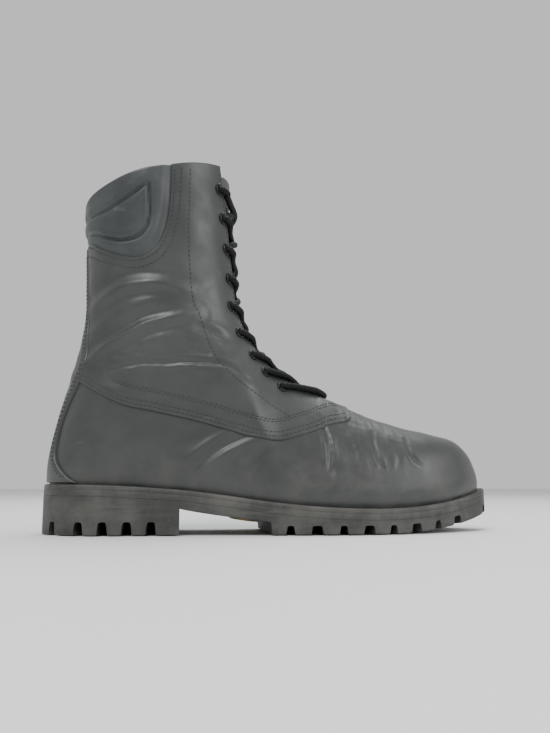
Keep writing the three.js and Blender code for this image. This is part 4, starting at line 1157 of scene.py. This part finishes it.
# Materials
class Tree:
    """A material's shader nodes, with short ways to add and link them."""

    def __init__(self, name):
        self.material = bpy.data.materials.new(name)
        self.material.use_nodes = True
        self.tree = self.material.node_tree
        self.shader = self.tree.nodes["Principled BSDF"]
        self.coords = self.add("ShaderNodeTexCoord").outputs["Object"]

    def add(self, kind, inputs=None, **values):
        """A node with its own values, and numbers or links for its inputs."""
        node = self.tree.nodes.new(kind)
        for key, value in values.items():
            setattr(node, key, value)
        for key, value in (inputs or {}).items():
            self.put(value, node.inputs[key])
        return node

    def put(self, value, socket):
        if hasattr(value, "is_output"):
            self.tree.links.new(value, socket)
        else:
            socket.default_value = value

    def scaled(self, *scale):
        return self.add("ShaderNodeMapping", {"Vector": self.coords, "Scale": scale}).outputs[0]

    def noise(self, scale, detail=3.0, rough=0.55, vector=None, distortion=0.0):
        return self.add("ShaderNodeTexNoise", {
            "Vector": vector or self.coords, "Scale": scale, "Detail": detail,
            "Roughness": rough, "Distortion": distortion}).outputs["Fac"]

    def ramp(self, value, low, high, start=0.0, end=1.0):
        return self.add("ShaderNodeMapRange", {
            "Value": value, "From Min": low, "From Max": high, "To Min": start, "To Max": end},
            interpolation_type="SMOOTHSTEP").outputs["Result"]

    def math(self, operation, a, b=0.0):
        return self.add("ShaderNodeMath", {0: a, 1: b}, operation=operation).outputs[0]

    def mix(self, share, a, b):
        a, b = ((*tone, 1.0) if isinstance(tone, tuple) else tone for tone in (a, b))
        return self.add("ShaderNodeMix", {"Factor": share, "A": a, "B": b},
                        data_type="RGBA").outputs["Result"]

    def over(self, colour, share, amount, tone):
        """A tone laid over a colour, by a share times an amount."""
        return self.mix(self.math("MULTIPLY", share, amount), colour, tone)

    def bumps(self, *layers):
        """Bump layers (height, strength, distance in mm), chained."""
        last = {}
        for height, strength, distance in layers:
            node = self.add("ShaderNodeBump", {"Strength": strength, "Distance": distance / 1000,
                                               "Height": height, **last})
            last = {"Normal": node.outputs["Normal"]}
        self.put(last["Normal"], self.shader.inputs["Normal"])

    def set(self, **values):
        for key, value in values.items():
            self.put(value, self.shader.inputs[key.replace("_", " ")])
        return self.material


def blackLeather(name, base=(0.028, 0.030, 0.030), worn=(0.043, 0.046, 0.046), shine=0.38):
    """Black leather: cloudy wear, grain and pores, pale scuffs, and dust near the sole."""
    t = Tree(name)
    patches = t.noise(60, 5, 0.62, distortion=0.4)
    grain = t.add("ShaderNodeTexVoronoi", {"Vector": t.coords, "Scale": 1050}).outputs["Distance"]
    creases = t.noise(210, 4, 0.7, t.scaled(0.55, 1.2, 1.5), 0.8)
    scuff = t.ramp(t.noise(34, 8, 0.75, t.scaled(1.0, 1.0, 1.6), 0.6), 0.60, 0.72)
    height = t.add("ShaderNodeSeparateXYZ", {0: t.coords}).outputs["Z"]
    dust = t.math("MULTIPLY", t.ramp(height, 0.062, 0.022), t.ramp(patches, 0.35, 0.75))
    colour = t.mix(t.ramp(t.noise(22, 4, 0.6), 0.3, 0.75), base, worn)
    colour = t.over(colour, scuff, 0.35, (0.10, 0.105, 0.108))
    colour = t.over(colour, dust, 0.35, (0.11, 0.098, 0.085))
    rough = t.ramp(patches, 0.25, 0.8, shine - 0.06, shine + 0.16)
    rough = t.math("ADD", rough, t.math("MULTIPLY", scuff, 0.15))
    t.bumps((creases, 0.12, 0.5), (grain, 0.16, 0.12), (t.noise(1900, 3, 0.6), 0.1, 0.08))
    return t.set(Base_Color=colour, Roughness=rough, Specular_IOR_Level=0.5, Coat_Weight=0.12,
                 Coat_Roughness=0.3)


def rubberMaterial(name, base, dusty, amount, rough=0.62, shaded_cuts=False):
    """Dusty rubber with streaks along the sole; on request, painted shade that turns it near black
    where a vertex lies deep in a cut.
    """
    t = Tree(name)
    speck = t.noise(420, 4, 0.7)
    drag = t.noise(60, 5, 0.7, t.scaled(0.25, 1.0, 5.0))
    colour = t.over(base, t.ramp(t.noise(40, 5, 0.65), 0.35, 0.7), amount, dusty)
    colour = t.over(colour, t.ramp(drag, 0.5, 0.7), amount * 0.5, dusty)
    colour = t.over(colour, t.ramp(speck, 0.55, 0.7), amount * 0.5, dusty)
    if shaded_cuts:
        # Painted shade: near black deep in the sole's slots and pockets
        painted_cut_shade = t.add("ShaderNodeAttribute", attribute_name="painted_cut_shade").outputs["Fac"]
        colour = t.mix(t.ramp(painted_cut_shade, 0.05, 0.7, 0.0, 0.92), colour, (0.006, 0.006, 0.0065))
    t.bumps((t.noise(300, 5, 0.6), 0.25, 0.25), (t.noise(90, 3, 0.5), 0.15, 0.5))
    return t.set(Base_Color=colour, Roughness=t.ramp(speck, 0.2, 0.8, rough - 0.1, rough + 0.15))


def fabricMaterial(name, base, light):
    t = Tree(name)
    t.bumps((t.noise(900, 4, 0.6), 0.3, 0.2))
    return t.set(Base_Color=t.mix(t.ramp(t.noise(90, 4, 0.6), 0.3, 0.7), base, light),
                 Roughness=0.9)


def cordMaterial(name, turns=8, plait=2.2):
    """Black braid: two sets of waves that wind round the cord, one plait every so many mm."""
    t = Tree(name)
    uv = t.add("ShaderNodeUVMap", uv_map="UVMap").outputs["UV"]
    parts = t.add("ShaderNodeSeparateXYZ", {0: uv}).outputs
    around = t.math("MULTIPLY", parts["X"], turns * math.pi)
    along = t.math("MULTIPLY", parts["Y"], 2 * math.pi / plait)
    left, right = (t.math("SINE", t.math(way, around, along)) for way in ("ADD", "SUBTRACT"))
    braid = t.math("MAXIMUM", left, right)
    t.bumps((braid, 0.8, 0.25))
    # The base colour follows the braid's height, darker in its grooves and lighter on its crests:
    # painted shade
    return t.set(Base_Color=t.mix(t.ramp(braid, -0.2, 1.0), (0.002, 0.002, 0.0022),
                                  (0.007, 0.0073, 0.0077)),
                 Roughness=0.6, Specular_IOR_Level=0.22)


def enamelMaterial(name):
    """Black enamel on metal, worn bright in specks."""
    t = Tree(name)
    worn = t.ramp(t.noise(700, 4, 0.6), 0.62, 0.72)
    t.bumps((t.noise(500, 3, 0.5), 0.15, 0.08))
    return t.set(Base_Color=t.mix(worn, (0.012, 0.012, 0.013), (0.25, 0.25, 0.24)),
                 Roughness=t.ramp(worn, 0, 1, 0.22, 0.35), Metallic=0.6)


def plateMaterial(name):
    t = Tree(name)
    colour = t.mix(t.ramp(t.noise(160, 5, 0.6), 0.35, 0.7), (0.46, 0.29, 0.07), (0.30, 0.18, 0.05))
    colour = t.over(colour, t.ramp(t.noise(380, 5, 0.7), 0.56, 0.7), 0.6, (0.10, 0.07, 0.03))
    t.bumps((t.noise(420, 4, 0.6), 0.3, 0.2))
    return t.set(Base_Color=colour, Roughness=0.5)


LEATHER_SKIN = blackLeather("black_leather")
PAD_SKIN = blackLeather("black_leather_soft", (0.024, 0.027, 0.030), (0.056, 0.061, 0.066), 0.46)
TONGUE_SKIN = blackLeather("black_leather_tongue", (0.030, 0.033, 0.036),
                           (0.070, 0.074, 0.078), 0.5)
SOLE_RUBBER = rubberMaterial("tread_rubber", (0.030, 0.030, 0.029), (0.100, 0.097, 0.090), 0.6,
                             shaded_cuts=True)
EDGE_RUBBER = rubberMaterial("edge_rubber", (0.032, 0.032, 0.031), (0.105, 0.101, 0.093), 0.65)
WELT_SKIN = rubberMaterial("welt_leather", (0.032, 0.031, 0.030), (0.115, 0.107, 0.095), 0.6,
                           0.55)
LINING_CLOTH = fabricMaterial("lining_cloth", (0.045, 0.044, 0.043), (0.075, 0.073, 0.070))
CORD = cordMaterial("lace_cord")
ENAMEL = enamelMaterial("eyelet_enamel")
THREAD = rubberMaterial("seam_thread", (0.018, 0.019, 0.020), (0.06, 0.06, 0.06), 0.5, 0.6)
OCHRE = plateMaterial("ochre_plate")

WEARS = [
    (vamp, LEATHER_SKIN, "upper_leather"), (quarter, LEATHER_SKIN, "upper_leather"),
    (collar, PAD_SKIN, "upper_leather"), (stay, LEATHER_SKIN, "upper_leather"),
    (tongue, TONGUE_SKIN, "upper_leather"), (seams, THREAD, "upper_leather"),
    (lining, LINING_CLOTH, "lining"), (insole, LINING_CLOTH, "lining"),
    (outsole, SOLE_RUBBER, "sole_rubber"), (heel, SOLE_RUBBER, "sole_rubber"),
    (midsole, EDGE_RUBBER, "sole_edge"), (welt, WELT_SKIN, "sole_edge"),
    (welt_threads, THREAD, "sole_edge"), (eyelets, ENAMEL, "eyelet_metal"),
    (lace, CORD, "lace_cord"), (badge, OCHRE, "plate"),
]
for piece, skin, slot_name in WEARS:
    piece.data.materials.append(skin)
    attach(piece, "root")
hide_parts("upper")
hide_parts("tongue")
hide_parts("insole")
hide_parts("welt")
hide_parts("midsole")
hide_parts("outsole")
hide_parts("heel_block")
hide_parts("waist_plate")
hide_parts(*[f"eyelet_{side}_{k + 1}" for side in ("outer", "inner")
                       for k in range(EYELETS)])
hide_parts(*[f"lace_crossing_{k + 1}" for k in range(EYELETS - 1)])

# Floor and soft studio light
FLOOR_HALF, FLOOR_DROP = 6, 0.0005
mesh = bpy.data.meshes.new("studio_floor")
mesh.from_pydata([(x * FLOOR_HALF, y * FLOOR_HALF, -FLOOR_DROP)
                  for x, y in ((-1, -1), (1, -1), (1, 1), (-1, 1))], [], [(0, 1, 2, 3)])
floor = bpy.data.objects.new("studio_floor", mesh)
bpy.context.scene.collection.objects.link(floor)
mesh.materials.append(Tree("pale_floor").set(Base_Color=(0.78, 0.79, 0.78, 1.0), Roughness=0.7))

world = bpy.data.worlds.new("studio")
bpy.context.scene.world = world
world.use_nodes = True
sky = world.node_tree.nodes["Background"].inputs
sky["Color"].default_value = (0.88, 0.90, 0.88, 1.0)
sky["Strength"].default_value = 0.79


def aimed(name, data, place, aim):
    """An object with a camera or a lamp, turned from its place to look at a point."""
    thing = bpy.data.objects.new(name, data)
    thing.location = place
    way = Vector(aim) - Vector(place)
    thing.rotation_euler = way.to_track_quat("-Z", "Y").to_euler()
    bpy.context.scene.collection.objects.link(thing)
    return thing


for name, place, size, watts, colour in (
        ("key", (-0.5, -0.9, 1.5), 1.0, 20, (1.0, 1.0, 1.0)),
        ("top", (0.3, 0.5, 1.6), 1.2, 16, (0.95, 0.98, 1.0)),
        ("front", (1.2, -0.8, 0.7), 0.8, 7, (1.0, 1.0, 1.0))):
    lamp = bpy.data.lights.new(name, "AREA")
    lamp.shape, lamp.size, lamp.energy, lamp.color = "DISK", size, watts, colour
    aimed(name, lamp, place, (0.0, 0.0, 0.1))

lens = bpy.data.cameras.new("photo_view")
lens.lens = lens.sensor_width = 36.0
lens.clip_start = 0.01
bpy.context.scene.camera = aimed("photo_view", lens, (-0.07, -0.50, 0.03), (0.0, 0.0, 0.112))
